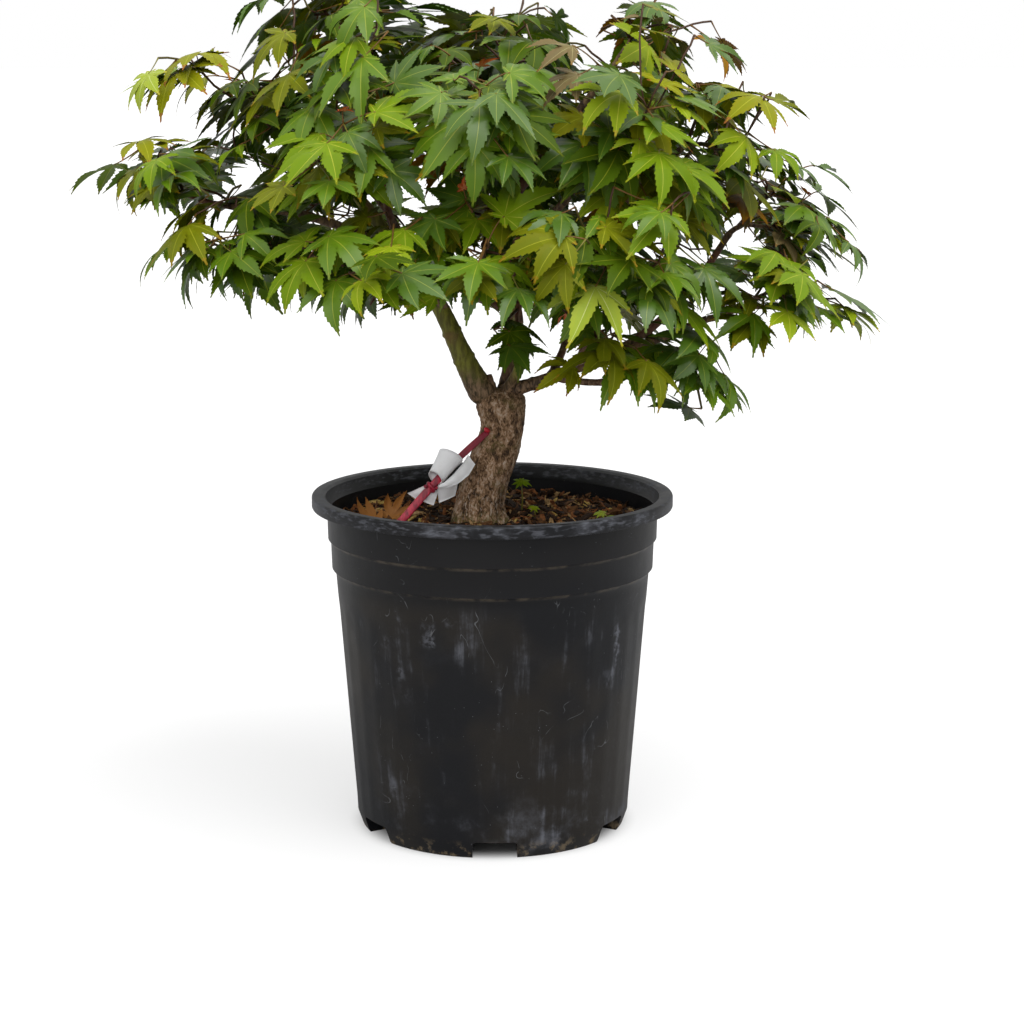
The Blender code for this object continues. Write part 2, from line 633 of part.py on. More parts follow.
class Grower:
    """Grows one mass: its stem, twigs and leaves, each kept only where it fits."""

    def __init__(self, bough, stem, space, leaves, workshop, rng):
        """Take the mass's stem and space, and the leaves that the other masses have."""
        self.bough = bough
        self.points, self.radii, self.seat = stem
        self.space = space
        self.leaves = leaves
        self.workshop = workshop
        self.rng = rng

    def jitter(self, size):
        """A random offset of up to size along each axis."""
        return Vector([self.rng.uniform(-size, size) for _ in range(3)])

    def add_rod(self, points, radii, seat=None):
        """Make a rod's object, and give back its tree for testing what crosses it."""
        bm = rod(points, radii, seat)
        tree = BVHTree.FromBMesh(bm)
        self.leaves.rods.append(tree)
        add_object("rod", mesh_from(bm, "rod"), self.workshop)
        return tree

    def crosses(self, tree, own):
        """Whether a piece crosses any leaf, or any wood but its own twig."""
        wood = (other for other in [*self.leaves.rods, *self.space.trees] if other is not own)
        return any(tree.overlap(other) for other in [*self.leaves.trees, *wood])

    def leaf_matrix(self, root, way, length, loose, lift=LIFT):
        """Where a leaf lies whose stalk leaves a twig at root, or None if it doesn't fit."""
        out = (root - CROWN_MIDDLE).normalized()
        normal = Vector((out.x, out.y, lift + 0.8 * max(out.z, 0.0))) + self.jitter(loose)
        forward = way + Vector((0, 0, -HANG)) + self.jitter(loose)
        turn = facing(forward, normal)
        place = root + turn @ Vector((0.0, STALK * length - ACROSS, 0.0))
        spots = self.leaves.samples @ (np.array(turn).T * length) + np.array(place)
        if not self.space.holds(spots, LEAF_CLEAR):
            return None
        return Matrix.Translation(place) @ turn.to_4x4() @ Matrix.Scale(length, 4)

    def add_leaf(self, matrix, own):
        """Make a leaf, unless it would cross another piece."""
        tree = self.leaves.tree(matrix)
        if self.crosses(tree, own):
            return False
        add_object("leaf", self.leaves.mesh, self.workshop).matrix_world = matrix
        self.leaves.trees.append(tree)
        self.leaves.middles.append(matrix @ Vector((0.0, LEAF_MIDDLE, 0.0)))
        return True

    def roomiest(self, offers):
        """The offers whose leaf is well away from the others, the furthest first."""
        scored = []
        for matrix, *rest in offers:
            room = self.leaves.room(matrix @ Vector((0.0, LEAF_MIDDLE, 0.0)))
            if room > LEAF_ROOM * matrix.to_scale().x:
                scored.append((room, len(scored), matrix, *rest))
        return [offer[2:] for offer in sorted(scored, reverse=True)]

    def twig_offers(self):
        """Twigs that fit with their end leaf, as (leaf's matrix, base, tip, way)."""
        heading = (self.points[-1] - self.points[0]).normalized()
        side = heading.cross(Vector((0, 0, 1))).normalized()
        rise = side.cross(heading)
        for number in range(TWIG_CHOICES):
            share = self.rng.uniform(0.05, 0.93)
            base = point_along(self.points, share)
            angle = self.rng.uniform(0.0, math.tau)
            around = math.cos(angle) * side + 0.85 * math.sin(angle) * rise
            way = (self.rng.uniform(-0.1, 0.9) * heading + around).normalized()
            tip = base + way * self.bough.spread * self.rng.uniform(0.30, 1.0) * (1.0 - 0.3 * share)
            spots = np.array([tuple(base.lerp(tip, part)) for part in (0.0, 0.3, 0.5, 0.75, 1.0)])
            if self.space.holds(spots, TWIG_CLEAR, SPACE_LAP):
                length = self.rng.uniform(*LEAF_LENGTH)
                matrix = self.leaf_matrix(tip - way * SUNK, way, length, 0.25 + 0.5 * number / TWIG_CHOICES)
                if matrix:
                    yield matrix, base, tip, way

    def side_offers(self, base, tip, way):
        """Side leaves that fit on a twig, as (matrix, )."""
        side = way.cross(Vector((0, 0, 1))).normalized()
        for number in range(LEAF_CHOICES):
            root = base.lerp(tip, self.rng.uniform(0.30, 0.80))
            turn = self.rng.choice((-1, 1))
            length = self.rng.uniform(*LEAF_LENGTH) * 0.94
            loose = 0.25 + 0.6 * number / LEAF_CHOICES
            matrix = self.leaf_matrix(root, 0.4 * way + turn * side, length, loose)
            if matrix:
                yield (matrix,)

    def add_twig(self):
        """A twig with an end leaf and side leaves."""
        for matrix, base, tip, way in self.roomiest(self.twig_offers()):
            trial = BVHTree.FromBMesh(rod([base.lerp(tip, 0.12), tip], TWIG_RADIUS))
            if self.crosses(trial, self.stem) or self.crosses(self.leaves.tree(matrix), None):
                continue
            own = self.add_rod([base, tip], TWIG_RADIUS)
            self.add_leaf(matrix, own)
            for _ in range(SIDE_LEAVES):
                for (offer,) in self.roomiest(self.side_offers(base, tip, way)):
                    if self.add_leaf(offer, own):
                        break
            return

    def add_stem(self):
        """The stem with the leaf that ends it."""
        self.stem = self.add_rod(self.points, self.radii, self.seat)
        heading = (self.points[-1] - self.points[-2]).normalized()
        way = Vector(self.bough.reach) - self.points[-1]
        way.z = min(way.z, 0.2 * way.length)
        way = END_PULL * way.normalized() + Vector((0, 0, HANG))
        for attempt in range(LEAF_CHOICES):
            length = END_LEAF * (1.0 - 0.2 * attempt / LEAF_CHOICES)
            root = self.points[-1] - heading * SUNK
            matrix = self.leaf_matrix(root, way, length, 0.8 * attempt / LEAF_CHOICES, END_LIFT)
            if matrix and self.add_leaf(matrix, self.stem):
                break


def stem_of(bough, paths):
    """The stem's points, radii and seat, from its bough's tip towards the mass's reach."""
    points, radii = paths[bough.name]
    heading = (points[-1] - points[-2]).normalized()
    start = points[-1] + heading * CLEAR
    reach = Vector(bough.reach)
    leaf_share = END_LEAF * (1.0 + STALK) * 0.96 / (reach - start).length
    end = start.lerp(reach, max(0.25, 1.0 - leaf_share))
    bend = start + heading * (end - start).length * 0.4
    stem = bezier(start, bend, end, STEM_STEPS)
    first = radii[-1] * 0.96
    stem_radii = [first + (STEM_END_RADIUS - first) * step / STEM_STEPS for step in range(STEM_STEPS + 1)]
    return stem, stem_radii, heading


def keep_largest_body(obj):
    """Drop loose scraps and sealed hollows: only the largest connected surface stays."""
    bm = bmesh.new()
    bm.from_mesh(obj.data)
    bmesh.ops.triangulate(bm, faces=bm.faces)
    left = set(bm.verts)
    bodies = []
    while left:
        found, edge = set(), [left.pop()]
        while edge:
            vert = edge.pop()
            found.add(vert)
            for link in vert.link_edges:
                other = link.other_vert(vert)
                if other in left:
                    left.discard(other)
                    edge.append(other)
        bodies.append(found)
    bodies.sort(key=len, reverse=True)
    for body in bodies[1:]:
        bmesh.ops.delete(bm, geom=list(body), context="VERTS")
    bm.to_mesh(obj.data)
    bm.free()


def fuse(name, workshop, collection, material):
    """Join every piece in a collection by one Boolean union, apply it, and remove the pieces."""
    base = workshop.objects[0]
    workshop.objects.unlink(base)
    collection.objects.link(base)
    base.name = name
    join = base.modifiers.new("join", "BOOLEAN")
    join.operation = "UNION"
    join.solver = "MANIFOLD"
    join.operand_type = "COLLECTION"
    join.collection = workshop
    graph = bpy.context.evaluated_depsgraph_get()
    mesh = bpy.data.meshes.new_from_object(base.evaluated_get(graph))
    base.modifiers.clear()
    base.data = mesh
    base.data.materials.clear()
    base.data.materials.append(material)
    for piece in list(workshop.objects):
        bpy.data.objects.remove(piece, do_unlink=True)
    return base


def tree_of(obj):
    """A tree of an object's faces, for testing what crosses it."""
    bm = bmesh.new()
    bm.from_mesh(obj.data)
    bm.transform(obj.matrix_world)
    tree = BVHTree.FromBMesh(bm)
    bm.free()
    return tree


def make_masses(paths, wide, collection, material):
    """Every mass of leaves, each grown in its own space and fused."""
    stems = {bough.mass: stem_of(bough, paths) for bough in BOUGHS}
    centres = {name: stem[0][0].lerp(stem[0][-1], 0.60) for name, stem in stems.items()}
    limb_capsules = [row for points, radii in paths.values() for row in capsules_of(points, radii)]
    limb_trees = [tree_of(limb) for limb in wide.values()]
    stem_trees = {name: BVHTree.FromBMesh(rod(*stem)) for name, stem in stems.items()}
    leaves = Leaves()
    growers = []
    for number, bough in enumerate(BOUGHS):
        others = [name for name in stems if name != bough.mass]
        capsules = limb_capsules + [row for name in others for row in capsules_of(*stems[name][:2])]
        space = Space(bough, centres, capsules, limb_trees + [stem_trees[name] for name in others])
        workshop = new_collection("pieces_of_" + bough.mass)
        growers.append(Grower(bough, stems[bough.mass], space, leaves, workshop, random.Random(number + 1)))
        growers[-1].add_stem()
    for _ in range(ROUNDS):
        for grower in growers:
            grower.add_twig()
    for grower in growers:
        keep_largest_body(fuse(grower.bough.mass, grower.workshop, collection, material))
        bpy.data.collections.remove(grower.workshop)


# ---------------------------------------------------------------- tie and tag


def tie_profile(grow, collection):
    """The flat oval section of the tie, this much larger all round, as a closed curve."""
    curve = bpy.data.curves.new("tie_section", "CURVE")
    curve.dimensions = "2D"
    spline = curve.splines.new("POLY")
    spline.points.add(TIE_SIDES - 1)
    spline.use_cyclic_u = True
    for step, spot in enumerate(spline.points):
        angle = step * math.tau / TIE_SIDES
        half_width, half_thick = TIE_WIDTH / 2 + grow, TIE_THICK / 2 + grow
        spot.co = (half_width * math.cos(angle), half_thick * math.sin(angle), 0.0, 1.0)
    section = add_object("tie_section", curve, collection)
    hide_as_cutter(section)
    return section


def tie_sweep(name, grow, collection, cutters, material=None):
    """The tie's section swept along its way, as a mesh, joined to its knot."""
    lie = SOIL_Z + CLEAR + TIE_WIDTH / 2
    points = [TIE_START, *TIE_PATH, (*TIE_LANDING, lie), (*TIE_END, lie)]
    curve = bpy.data.curves.new(name, "CURVE")
    curve.dimensions = "3D"
    curve.bevel_mode = "OBJECT"
    curve.bevel_object = tie_profile(grow, cutters)
    curve.use_fill_caps = True
    spline = curve.splines.new("POLY")
    spline.points.add(len(points) - 1)
    for spot, point in zip(spline.points, points):
        spot.co = (*point, 1.0)
    tie = as_mesh(add_object(name, curve, collection, material), collection)
    knot = sphere_cutter("knot_of_" + name, TIE_KNOT_RADIUS + grow, TIE_PATH[-1], cutters)
    unite(tie, knot)
    return tie


def sphere_cutter(name, radius, place, collection):
    """A coarse ball for a Boolean to use."""
    bpy.ops.mesh.primitive_ico_sphere_add(subdivisions=1, radius=radius, location=place)
    return to_cutters(bpy.context.object, name, collection)


def make_tie(collection, cutters, around_trunk, material):
    """The flat tie, from the trunk's side down to the soil, with its knot."""
    tie = tie_sweep("tie_band", 0.0, collection, cutters, material)
    cut(tie, around_trunk)
    around = tie_sweep("around_tie", CLEAR, cutters, cutters)
    hide_as_cutter(around)
    return around


def make_tag(collection, cutters, around_tie, material):
    """The blank tag: a sleeve rolled round the tie above its knot, with two loose ends."""
    knot, above = Vector(TIE_PATH[2]), Vector(TIE_PATH[1])
    axis = (above - knot).normalized()
    turn = axis.to_track_quat("Z", "Y").to_matrix().to_4x4()
    hang = turn.to_3x3() @ Vector((0.0, 1.0, 0.0))
    hang = hang if hang.z < 0 else -hang
    foot = knot + axis * (TIE_KNOT_RADIUS + 0.0015)
    sink = TAG_RADII[1] - TAG_WALL - TIE_WIDTH / 2 - CLEAR
    place = Matrix.Translation(foot + hang * sink) @ turn
    outside = [(TAG_RADII[0], TAG_LENGTH), (TAG_RADII[1], 0.0)]
    inside = [(radius - TAG_WALL, height) for radius, height in reversed(outside)]
    tag = turned("label_tag", [*outside, *inside, outside[0]], TAG_STEPS, collection, material)
    tag.matrix_world = place
    for side, lean in ((1, 0.35), (-1, -0.25)):
        bpy.ops.mesh.primitive_cube_add(size=1.0)
        flap = to_cutters(bpy.context.object, "flap_above" if side > 0 else "flap_below", cutters)
        flap.data.transform(Matrix.Diagonal((*TAG_FLAP, 1.0)))
        swing = Matrix.Rotation(lean, 4, "X")
        height = TAG_LENGTH / 2 + side * TAG_LENGTH * 0.30
        offset = Matrix.Translation((0.0, TAG_RADII[1] * 1.15, height))
        flap.matrix_world = place @ offset @ swing
        unite(tag, flap)
    cut(tag, around_tie)


def main():
    """Build the plant."""
    clear_scene()
    plant = new_collection(NAME)
    cutters = new_collection("cutters")
    channels = new_collection("channel_cutters")
    cutters.hide_render = True
    channels.hide_render = True
    materials = {name: make_material(name) for name in MATERIALS}
    paths = limb_paths()
    wide = make_limbs(paths, plant, cutters, materials["bark"])
    make_masses(paths, wide, plant, materials["leaf"])
    around_tie = make_tie(plant, cutters, wide["trunk"], materials["tie"])
    make_tag(plant, cutters, around_tie, materials["tag"])
    make_stub(cutters, wide)
    seat_limbs(wide)
    make_soil(plant, materials["soil"])
    make_pot(plant, channels, materials["pot"])


if __name__ == "__main__":
    main()
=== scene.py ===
"""The looks of a young Japanese maple in a round plastic nursery pot.

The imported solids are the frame. The trunk and boughs get bark with real relief, and each mass of
leaves is grown again from its bough's tip, with finer twigs and serrated palmate leaves that keep
to the place of the mass's solid. Metres, +Z up, the front of the plant at -Y.
"""

import json
import logging
import math
import random
from dataclasses import dataclass, field
from enum import Enum
from typing import Callable, Iterable, Sequence

import bmesh
import bpy
import numpy as np
from mathutils import Matrix, Vector, noise
from mathutils.bvhtree import BVHTree
from mathutils.kdtree import KDTree

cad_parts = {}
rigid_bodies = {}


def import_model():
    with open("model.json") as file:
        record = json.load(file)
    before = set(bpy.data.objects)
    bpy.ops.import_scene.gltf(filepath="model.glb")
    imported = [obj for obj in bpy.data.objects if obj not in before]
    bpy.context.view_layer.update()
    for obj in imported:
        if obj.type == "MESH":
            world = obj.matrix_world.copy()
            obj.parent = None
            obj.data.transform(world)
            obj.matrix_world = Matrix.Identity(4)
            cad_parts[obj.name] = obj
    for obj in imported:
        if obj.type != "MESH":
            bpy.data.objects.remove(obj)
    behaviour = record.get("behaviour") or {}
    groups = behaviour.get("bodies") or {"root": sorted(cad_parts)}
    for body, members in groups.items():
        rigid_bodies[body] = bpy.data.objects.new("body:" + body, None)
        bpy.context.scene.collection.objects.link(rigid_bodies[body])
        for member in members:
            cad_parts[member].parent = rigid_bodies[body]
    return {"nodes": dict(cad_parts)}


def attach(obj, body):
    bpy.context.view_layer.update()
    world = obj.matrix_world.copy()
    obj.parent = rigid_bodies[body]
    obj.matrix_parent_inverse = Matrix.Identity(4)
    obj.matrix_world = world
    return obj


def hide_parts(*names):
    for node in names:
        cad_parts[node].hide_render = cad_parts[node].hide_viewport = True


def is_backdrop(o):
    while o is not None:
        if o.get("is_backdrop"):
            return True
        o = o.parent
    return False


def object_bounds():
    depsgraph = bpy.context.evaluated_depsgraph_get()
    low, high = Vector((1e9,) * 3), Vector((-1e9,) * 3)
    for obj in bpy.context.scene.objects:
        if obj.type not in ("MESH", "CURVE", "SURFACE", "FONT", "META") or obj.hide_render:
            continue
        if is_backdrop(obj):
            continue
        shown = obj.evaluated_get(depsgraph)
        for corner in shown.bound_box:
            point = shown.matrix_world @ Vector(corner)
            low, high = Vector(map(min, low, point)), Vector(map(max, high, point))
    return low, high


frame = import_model()

log = logging.getLogger("potted_maple")
Colour = tuple[float, float, float]
Point = tuple[float, float, float]
Whole = tuple[int, int, int]
Joint = tuple[Vector, Vector, float]
Pair = tuple[float, float]
Surface = tuple[np.ndarray, np.ndarray]
BODY = "root"
MILLIMETRES = 1000
TENTHS = TEN_THOUSANDTHS = 10000
SOIL_HEIGHT = 0.246
EYE = (0.0155, -2.0, 0.6364)
UP = Vector((0.0, 0.0, 1.0))


def scaled(sizes: Sequence[int], parts: int) -> tuple[float, ...]:
    """Whole numbers of a unit, of which this many parts make one, as shares or metres."""
    return tuple(size / parts for size in sizes)


# ---- shader maths


def math_operator(operation: str, reflected: bool = False) -> Callable[..., "Value"]:
    """An operator that adds a Math node.

    Args:
        operation: The node's operation.
        reflected: Whether the wrapped socket is the last term.

    Returns:
        The method.
    """
    def operator(self: "Value", *others: "Number") -> "Value":
        """The node's result."""
        terms = (*others, self) if reflected else (self, *others)
        return self.tree.add("ShaderNodeMath", {"operation": operation}, dict(enumerate(terms)))
    return operator


class Value:
    """A shader socket that can be reckoned with: each operator adds a Math node."""

    __add__, __radd__ = math_operator("ADD"), math_operator("ADD", True)
    __sub__, __rsub__ = math_operator("SUBTRACT"), math_operator("SUBTRACT", True)
    __mul__, __rmul__ = math_operator("MULTIPLY"), math_operator("MULTIPLY", True)
    __pow__, __abs__, most = math_operator("POWER"), math_operator("ABSOLUTE"), math_operator("MAXIMUM")

    def __init__(self, tree: "Tree", socket: bpy.types.NodeSocket) -> None:
        """Wrap a socket of a tree."""
        self.tree, self.socket = tree, socket

    def ramp(self, low: float, high: float) -> "Value":
        """A smooth rise from 0 at low to 1 at high, or a fall where high is the smaller.

        Args:
            low: Where the result is 0.
            high: Where the result is 1.

        Returns:
            The eased share, kept between 0 and 1.
        """
        falls = low > high
        values = {0: self, 1: min(low, high), 2: max(low, high), 3: float(falls), 4: float(not falls)}
        return self.tree.add("ShaderNodeMapRange", {"interpolation_type": "SMOOTHSTEP"}, values)


Number = Value | float
Stops = Sequence[tuple[float, Colour]]
Owner = bpy.types.Material | bpy.types.World


class Tree:
    """The node tree of a material or a world, with short ways to add what the finishes need."""

    def __init__(self, owner: Owner) -> None:
        """Use the nodes that the owner starts with.

        Args:
            owner: The material or the world.
        """
        owner.use_nodes = True
        self.owner = owner
        self.nodes, self.links = owner.node_tree.nodes, owner.node_tree.links
        self.shader = next(node for node in self.nodes if node.type in ("BSDF_PRINCIPLED", "BACKGROUND"))
        self.places: Value | None = None

    def put(self, socket: bpy.types.NodeSocket, value: Number | Sequence[float]) -> None:
        """Set a socket to a number or colour, or link it.

        Args:
            socket: The socket.
            value: What it is set or linked to.
        """
        if isinstance(value, Value):
            self.links.new(value.socket, socket)
        elif isinstance(value, (int, float)):
            socket.default_value = value
        else:
            extra = (1.0,) if len(socket.default_value) == 4 and len(value) == 3 else ()
            socket.default_value = (*value, *extra)

    def add(self, kind: str, settings: dict, values: dict, output: int = 0) -> Value:
        """Add a node.

        Args:
            kind: The node's type.
            settings: Its properties, set first; "stops" are a colour ramp's.
            values: A number, colour or Value for each socket, by name or place.
            output: Which output is given back.

        Returns:
            The node's output.
        """
        node = self.nodes.new(kind)
        for key, setting in settings.items():
            if key == "stops":
                self._set_stops(node.color_ramp, setting)
            else:
                setattr(node, key, setting)
        for key, value in values.items():
            self.put(node.inputs[key], value)
        return Value(self, node.outputs[output])

    @staticmethod
    def _set_stops(ramp: bpy.types.ColorRamp, stops: Stops) -> None:
        """Give a colour ramp its stops.

        Args:
            ramp: The ramp.
            stops: A place and a colour for each.
        """
        while len(ramp.elements) < len(stops):
            ramp.elements.new(1.0)
        for element, (place, colour) in zip(ramp.elements, stops):
            element.position = place
            element.color = (*colour, 1.0)

    def place(self) -> Value:
        """The point on the object, in metres."""
        self.places = self.places or self.add("ShaderNodeTexCoord", {}, {}, 3)
        return self.places

    def height(self) -> Value:
        """How high the point lies, in metres."""
        return self.add("ShaderNodeSeparateXYZ", {}, {0: self.place()}, 2)

    def stretched(self, scale: float | Point) -> Value:
        """The point on the object, scaled alike or by axis."""
        scales = (scale,) * 3 if isinstance(scale, float) else scale
        return self.add("ShaderNodeVectorMath", {"operation": "MULTIPLY"}, {0: self.place(), 1: scales})

    def noise(self, scale: float | Point, detail: float = 3.0, rough: float = 0.55,
              bent: float = 0.0) -> Value:
        """Soft noise, with scale in turns per metre."""
        values = {"Scale": 1.0, "Detail": detail, "Roughness": rough, "Distortion": bent}
        return self.add("ShaderNodeTexNoise", {}, {"Vector": self.stretched(scale), **values})

    def cells(self, scale: float | Point, feature: str = "F1", loose: float = 1.0) -> Value:
        """The distance in a Voronoi pattern, with scale in cells per metre."""
        values = {"Vector": self.stretched(scale), "Scale": 1.0, "Randomness": loose}
        return self.add("ShaderNodeTexVoronoi", {"feature": feature}, values)

    def colours(self, factor: Number, stops: Stops) -> Value:
        """A colour ramp over a factor."""
        return self.add("ShaderNodeValToRGB", {"stops": stops}, {0: factor})

    def mix(self, factor: Number, first: Value | Colour, second: Value | Colour) -> Value:
        """The first colour where the factor is 0, and the second where it is 1."""
        return self.add("ShaderNodeMix", {"data_type": "RGBA"}, {0: factor, 6: first, 7: second}, 2)

    def bump(self, height: Number, depth: float, strength: float = 1.0) -> None:
        """Give the shader a bump of this depth in metres."""
        values = {"Height": height, "Distance": depth, "Strength": strength}
        self.put(self.shader.inputs["Normal"], self.add("ShaderNodeBump", {}, values))

    def finish(self, **sockets: Number | Colour) -> Owner:
        """Set the shader's sockets.

        Args:
            sockets: Their values, each by its name with _ for a space.

        Returns:
            The material or the world.
        """
        for name, value in sockets.items():
            self.put(self.shader.inputs[name.replace("_", " ").title().replace("Ior", "IOR")], value)
        return self.owner


class Finish:
    """A finish that makes its material once, for all the pieces that wear it."""

    made: dict[str, bpy.types.Material] = {}

    def material(self) -> bpy.types.Material:
        """The finish's material, made at the first call.

        Returns:
            The material.
        """
        if self.name not in Finish.made:
            Finish.made[self.name] = self.dress(Tree(bpy.data.materials.new(self.name)))
        return Finish.made[self.name]


@dataclass(frozen=True)
class PotPlastic(Finish):
    """Black blow-moulded plastic, dusty, scratched and muddy at its foot, with dust and a painted sheen on the rim's
    top.
    """

    name: str = "pot_plastic"
    body: Colour = (0.0022, 0.0025, 0.004)
    warm: Colour = (0.011, 0.0086, 0.0064)
    # bluish grey of the dust, also used for the painted sheen on the rim's top
    dust_and_sheen: Colour = (0.105, 0.11, 0.128)
    pale: Colour = (0.19, 0.2, 0.215)
    mud: Colour = (0.2, 0.15, 0.09)
    tan: Colour = (0.1, 0.08, 0.056)
    rim_height: float = 0.256
    steps: Pair = (0.2326, 0.2092)

    def dress(self, tree: Tree) -> bpy.types.Material:
        """Add the nodes.

        Args:
            tree: The material's nodes.

        Returns:
            The material.
        """
        height = tree.height()
        wall = height.ramp(self.steps[1], self.steps[1] - 0.02)
        base = tree.mix(tree.noise(9.0).ramp(0.4, 0.6) * (wall * 0.8 + 0.2), self.body, self.warm)
        # dust: streaks and clouds on the wall, a rough rim with dust and a painted sheen, and two worn panels
        streaks = tree.noise((130.0, 130.0, 8.0), 4.0).ramp(0.5, 0.76)
        clouds = tree.noise(24.0, 5.0, 0.65).ramp(0.44, 0.74)
        rim = height.ramp(self.rim_height, self.rim_height + 0.004)
        low = height.ramp(0.07, 0.01)
        patches = tree.noise((34.0, 34.0, 17.0), 2.0).ramp(0.58, 0.7) * height.ramp(0.2, 0.175)
        panels = patches * height.ramp(0.11, 0.165) * tree.noise(230.0, 3.0).ramp(0.36, 0.66)
        worn = (streaks * clouds * 0.75 + streaks * 0.1 + clouds * 0.14) * (wall * 0.75 + 0.25) + low * clouds * 0.5
        # the rim's top is lighter: partly dust, partly a painted sheen
        rim_dust_and_sheen = rim * (clouds * 0.6 + tree.noise((120.0, 120.0, 400.0), 4.0).ramp(0.46, 0.66) * 0.55 + 0.1)
        dust_and_rim_sheen = (worn + rim_dust_and_sheen + panels * 0.9).ramp(0.0, 1.15)
        coloured = tree.mix(dust_and_rim_sheen, base, self.dust_and_sheen)
        # scratches along the level lines of a noise, and specks
        field = tree.noise((26.0, 26.0, 15.0), 2.0, 0.5, 0.8)
        lines = field.ramp(0.4965, 0.4985) * field.ramp(0.503, 0.501)
        rare = tree.noise(21.0, 2.0).ramp(0.55, 0.62) * tree.noise(120.0, 2.0).ramp(0.42, 0.58)
        specks = tree.cells(250.0).ramp(0.09, 0.04) * tree.noise(55.0, 1.0).ramp(0.54, 0.62)
        scuffed = (lines * rare * 0.4).most(specks * 0.6)
        coloured = tree.mix(scuffed, coloured, self.pale)
        # soil caught on the collar's steps and at the foot
        for step in self.steps:
            line = height.ramp(step - 0.003, step - 0.0004) * height.ramp(step + 0.001, step)
            coloured = tree.mix(line * tree.noise(75.0, 4.0).ramp(0.38, 0.66) * 0.62, coloured, self.tan)
        muddy = height.ramp(0.016, 0.001) * tree.noise(95.0, 5.0, 0.7).ramp(0.5, 0.62)
        coloured = tree.mix(muddy * 0.8, coloured, self.mud)
        grain = tree.noise(900.0, 2.0) * 0.3 + tree.noise(110.0, 3.0) * 0.7
        tree.bump(grain - scuffed * 0.5 + muddy * 2.0, 0.00028, 0.6)
        rough = 0.36 + dust_and_rim_sheen * 0.26 + muddy * 0.35 + tree.noise(45.0, 3.0) * 0.14
        return tree.finish(base_color=coloured, roughness=rough, specular_ior_level=0.28)


@dataclass(frozen=True)
class Bark(Finish):
    """Rough grey-brown bark, dark in its cracks with partly painted shade, with moss and pale flecks low down."""

    name: str = "old_bark"
    ridge: Colour = (0.39, 0.24, 0.14)
    crack_and_shade: Colour = (0.014, 0.007, 0.0034)
    middle: Colour = (0.18, 0.102, 0.052)
    grey: Colour = (0.55, 0.44, 0.35)
    moss: Colour = (0.09, 0.082, 0.016)
    soil_height: float = SOIL_HEIGHT

    def dress(self, tree: Tree) -> bpy.types.Material:
        """Add the nodes.

        Args:
            tree: The material's nodes.

        Returns:
            The material.
        """
        height = tree.height()
        grain = tree.noise((400.0, 400.0, 210.0), 5.0, 0.68, 1.2)
        plates = tree.noise((120.0, 120.0, 62.0), 3.0)
        tone = grain * 0.6 + plates * 0.4
        # the lowest tones, near black, lie where the bump sinks: the cracks' own colour and painted shade
        coloured = tree.colours(tone.ramp(0.36, 0.64), [(0.0, self.crack_and_shade), (0.42, self.middle),
                                                        (0.76, self.ridge), (1.0, self.grey)])
        low = height.ramp(self.soil_height + 0.052, self.soil_height + 0.012)
        flecks = tree.noise((520.0, 520.0, 200.0), 2.0).ramp(0.56, 0.66) * low
        coloured = tree.mix(flecks * 0.75, coloured, self.grey)
        foot = height.ramp(self.soil_height + 0.014, self.soil_height + 0.001)
        patches = tree.noise(70.0, 3.0).ramp(0.5, 0.66)
        mossy = (foot * 0.8).most(patches * 0.45)
        coloured = tree.mix(mossy * tree.noise(300.0, 2.0).ramp(0.35, 0.6), coloured, self.moss)
        tree.bump(tone, 0.0012, 0.8)
        return tree.finish(base_color=coloured, roughness=0.86, specular_ior_level=0.3)


@dataclass(frozen=True)
class Rind(Finish):
    """Smooth young bark, streaked along the bough, and rough and brown where it meets the trunk, its cracks there
    near black with partly painted shade.
    """

    name: str
    light: Colour
    dark: Colour
    flushed: Colour
    old: Colour = (0.25, 0.155, 0.086)
    crack_and_shade: Colour = (0.026, 0.015, 0.008)
    fork: Pair = (0.373, 0.353)

    def dress(self, tree: Tree) -> bpy.types.Material:
        """Add the nodes.

        Args:
            tree: The material's nodes.

        Returns:
            The material.
        """
        streaks = tree.noise((300.0, 300.0, 70.0), 4.0, 0.6)
        blotches = tree.noise(34.0, 3.0)
        coloured = tree.mix(streaks.ramp(0.36, 0.64), self.dark, self.light)
        coloured = tree.mix(blotches.ramp(0.47, 0.62) * 0.8, coloured, self.flushed)
        pores = tree.cells((700.0, 700.0, 330.0)).ramp(0.16, 0.06)
        coloured = tree.mix(pores * 0.35, coloured, (0.36, 0.29, 0.2))
        grain = tree.noise((420.0, 420.0, 130.0), 5.0, 0.65, 0.6)
        fork = tree.height().ramp(*self.fork) * (0.7 + grain * 0.5)
        # at the fork, sunken grain is near black: the cracks' colour and painted shade
        coloured = tree.mix(fork, coloured, tree.mix(grain.ramp(0.38, 0.62), self.crack_and_shade, self.old))
        tree.bump(streaks + pores * 0.5 + fork * grain, 0.0006, 0.7)
        return tree.finish(base_color=coloured, roughness=0.6, specular_ior_level=0.3)


@dataclass(frozen=True)
class Plain(Finish):
    """One colour and roughness: what a leaf's parts and stalks wear."""

    name: str
    colour: Colour
    rough: float = 0.45
    shine: float = 0.3

    def dress(self, tree: Tree) -> bpy.types.Material:
        """Set the sockets."""
        return tree.finish(base_color=self.colour, roughness=self.rough, specular_ior_level=self.shine)


@dataclass(frozen=True)
class Mulch(Finish):
    """Shredded bark and soil, of one run of browns."""

    name: str
    dark: Colour
    light: Colour
    scale: float = 420.0

    def dress(self, tree: Tree) -> bpy.types.Material:
        """Add the nodes.

        Args:
            tree: The material's nodes.

        Returns:
            The material.
        """
        grain = tree.noise(self.scale, 5.0, 0.7)
        coloured = tree.mix(grain.ramp(0.32, 0.68), self.dark, self.light)
        tree.bump(grain, 0.0011, 0.9)
        return tree.finish(base_color=coloured, roughness=0.9, specular_ior_level=0.25)


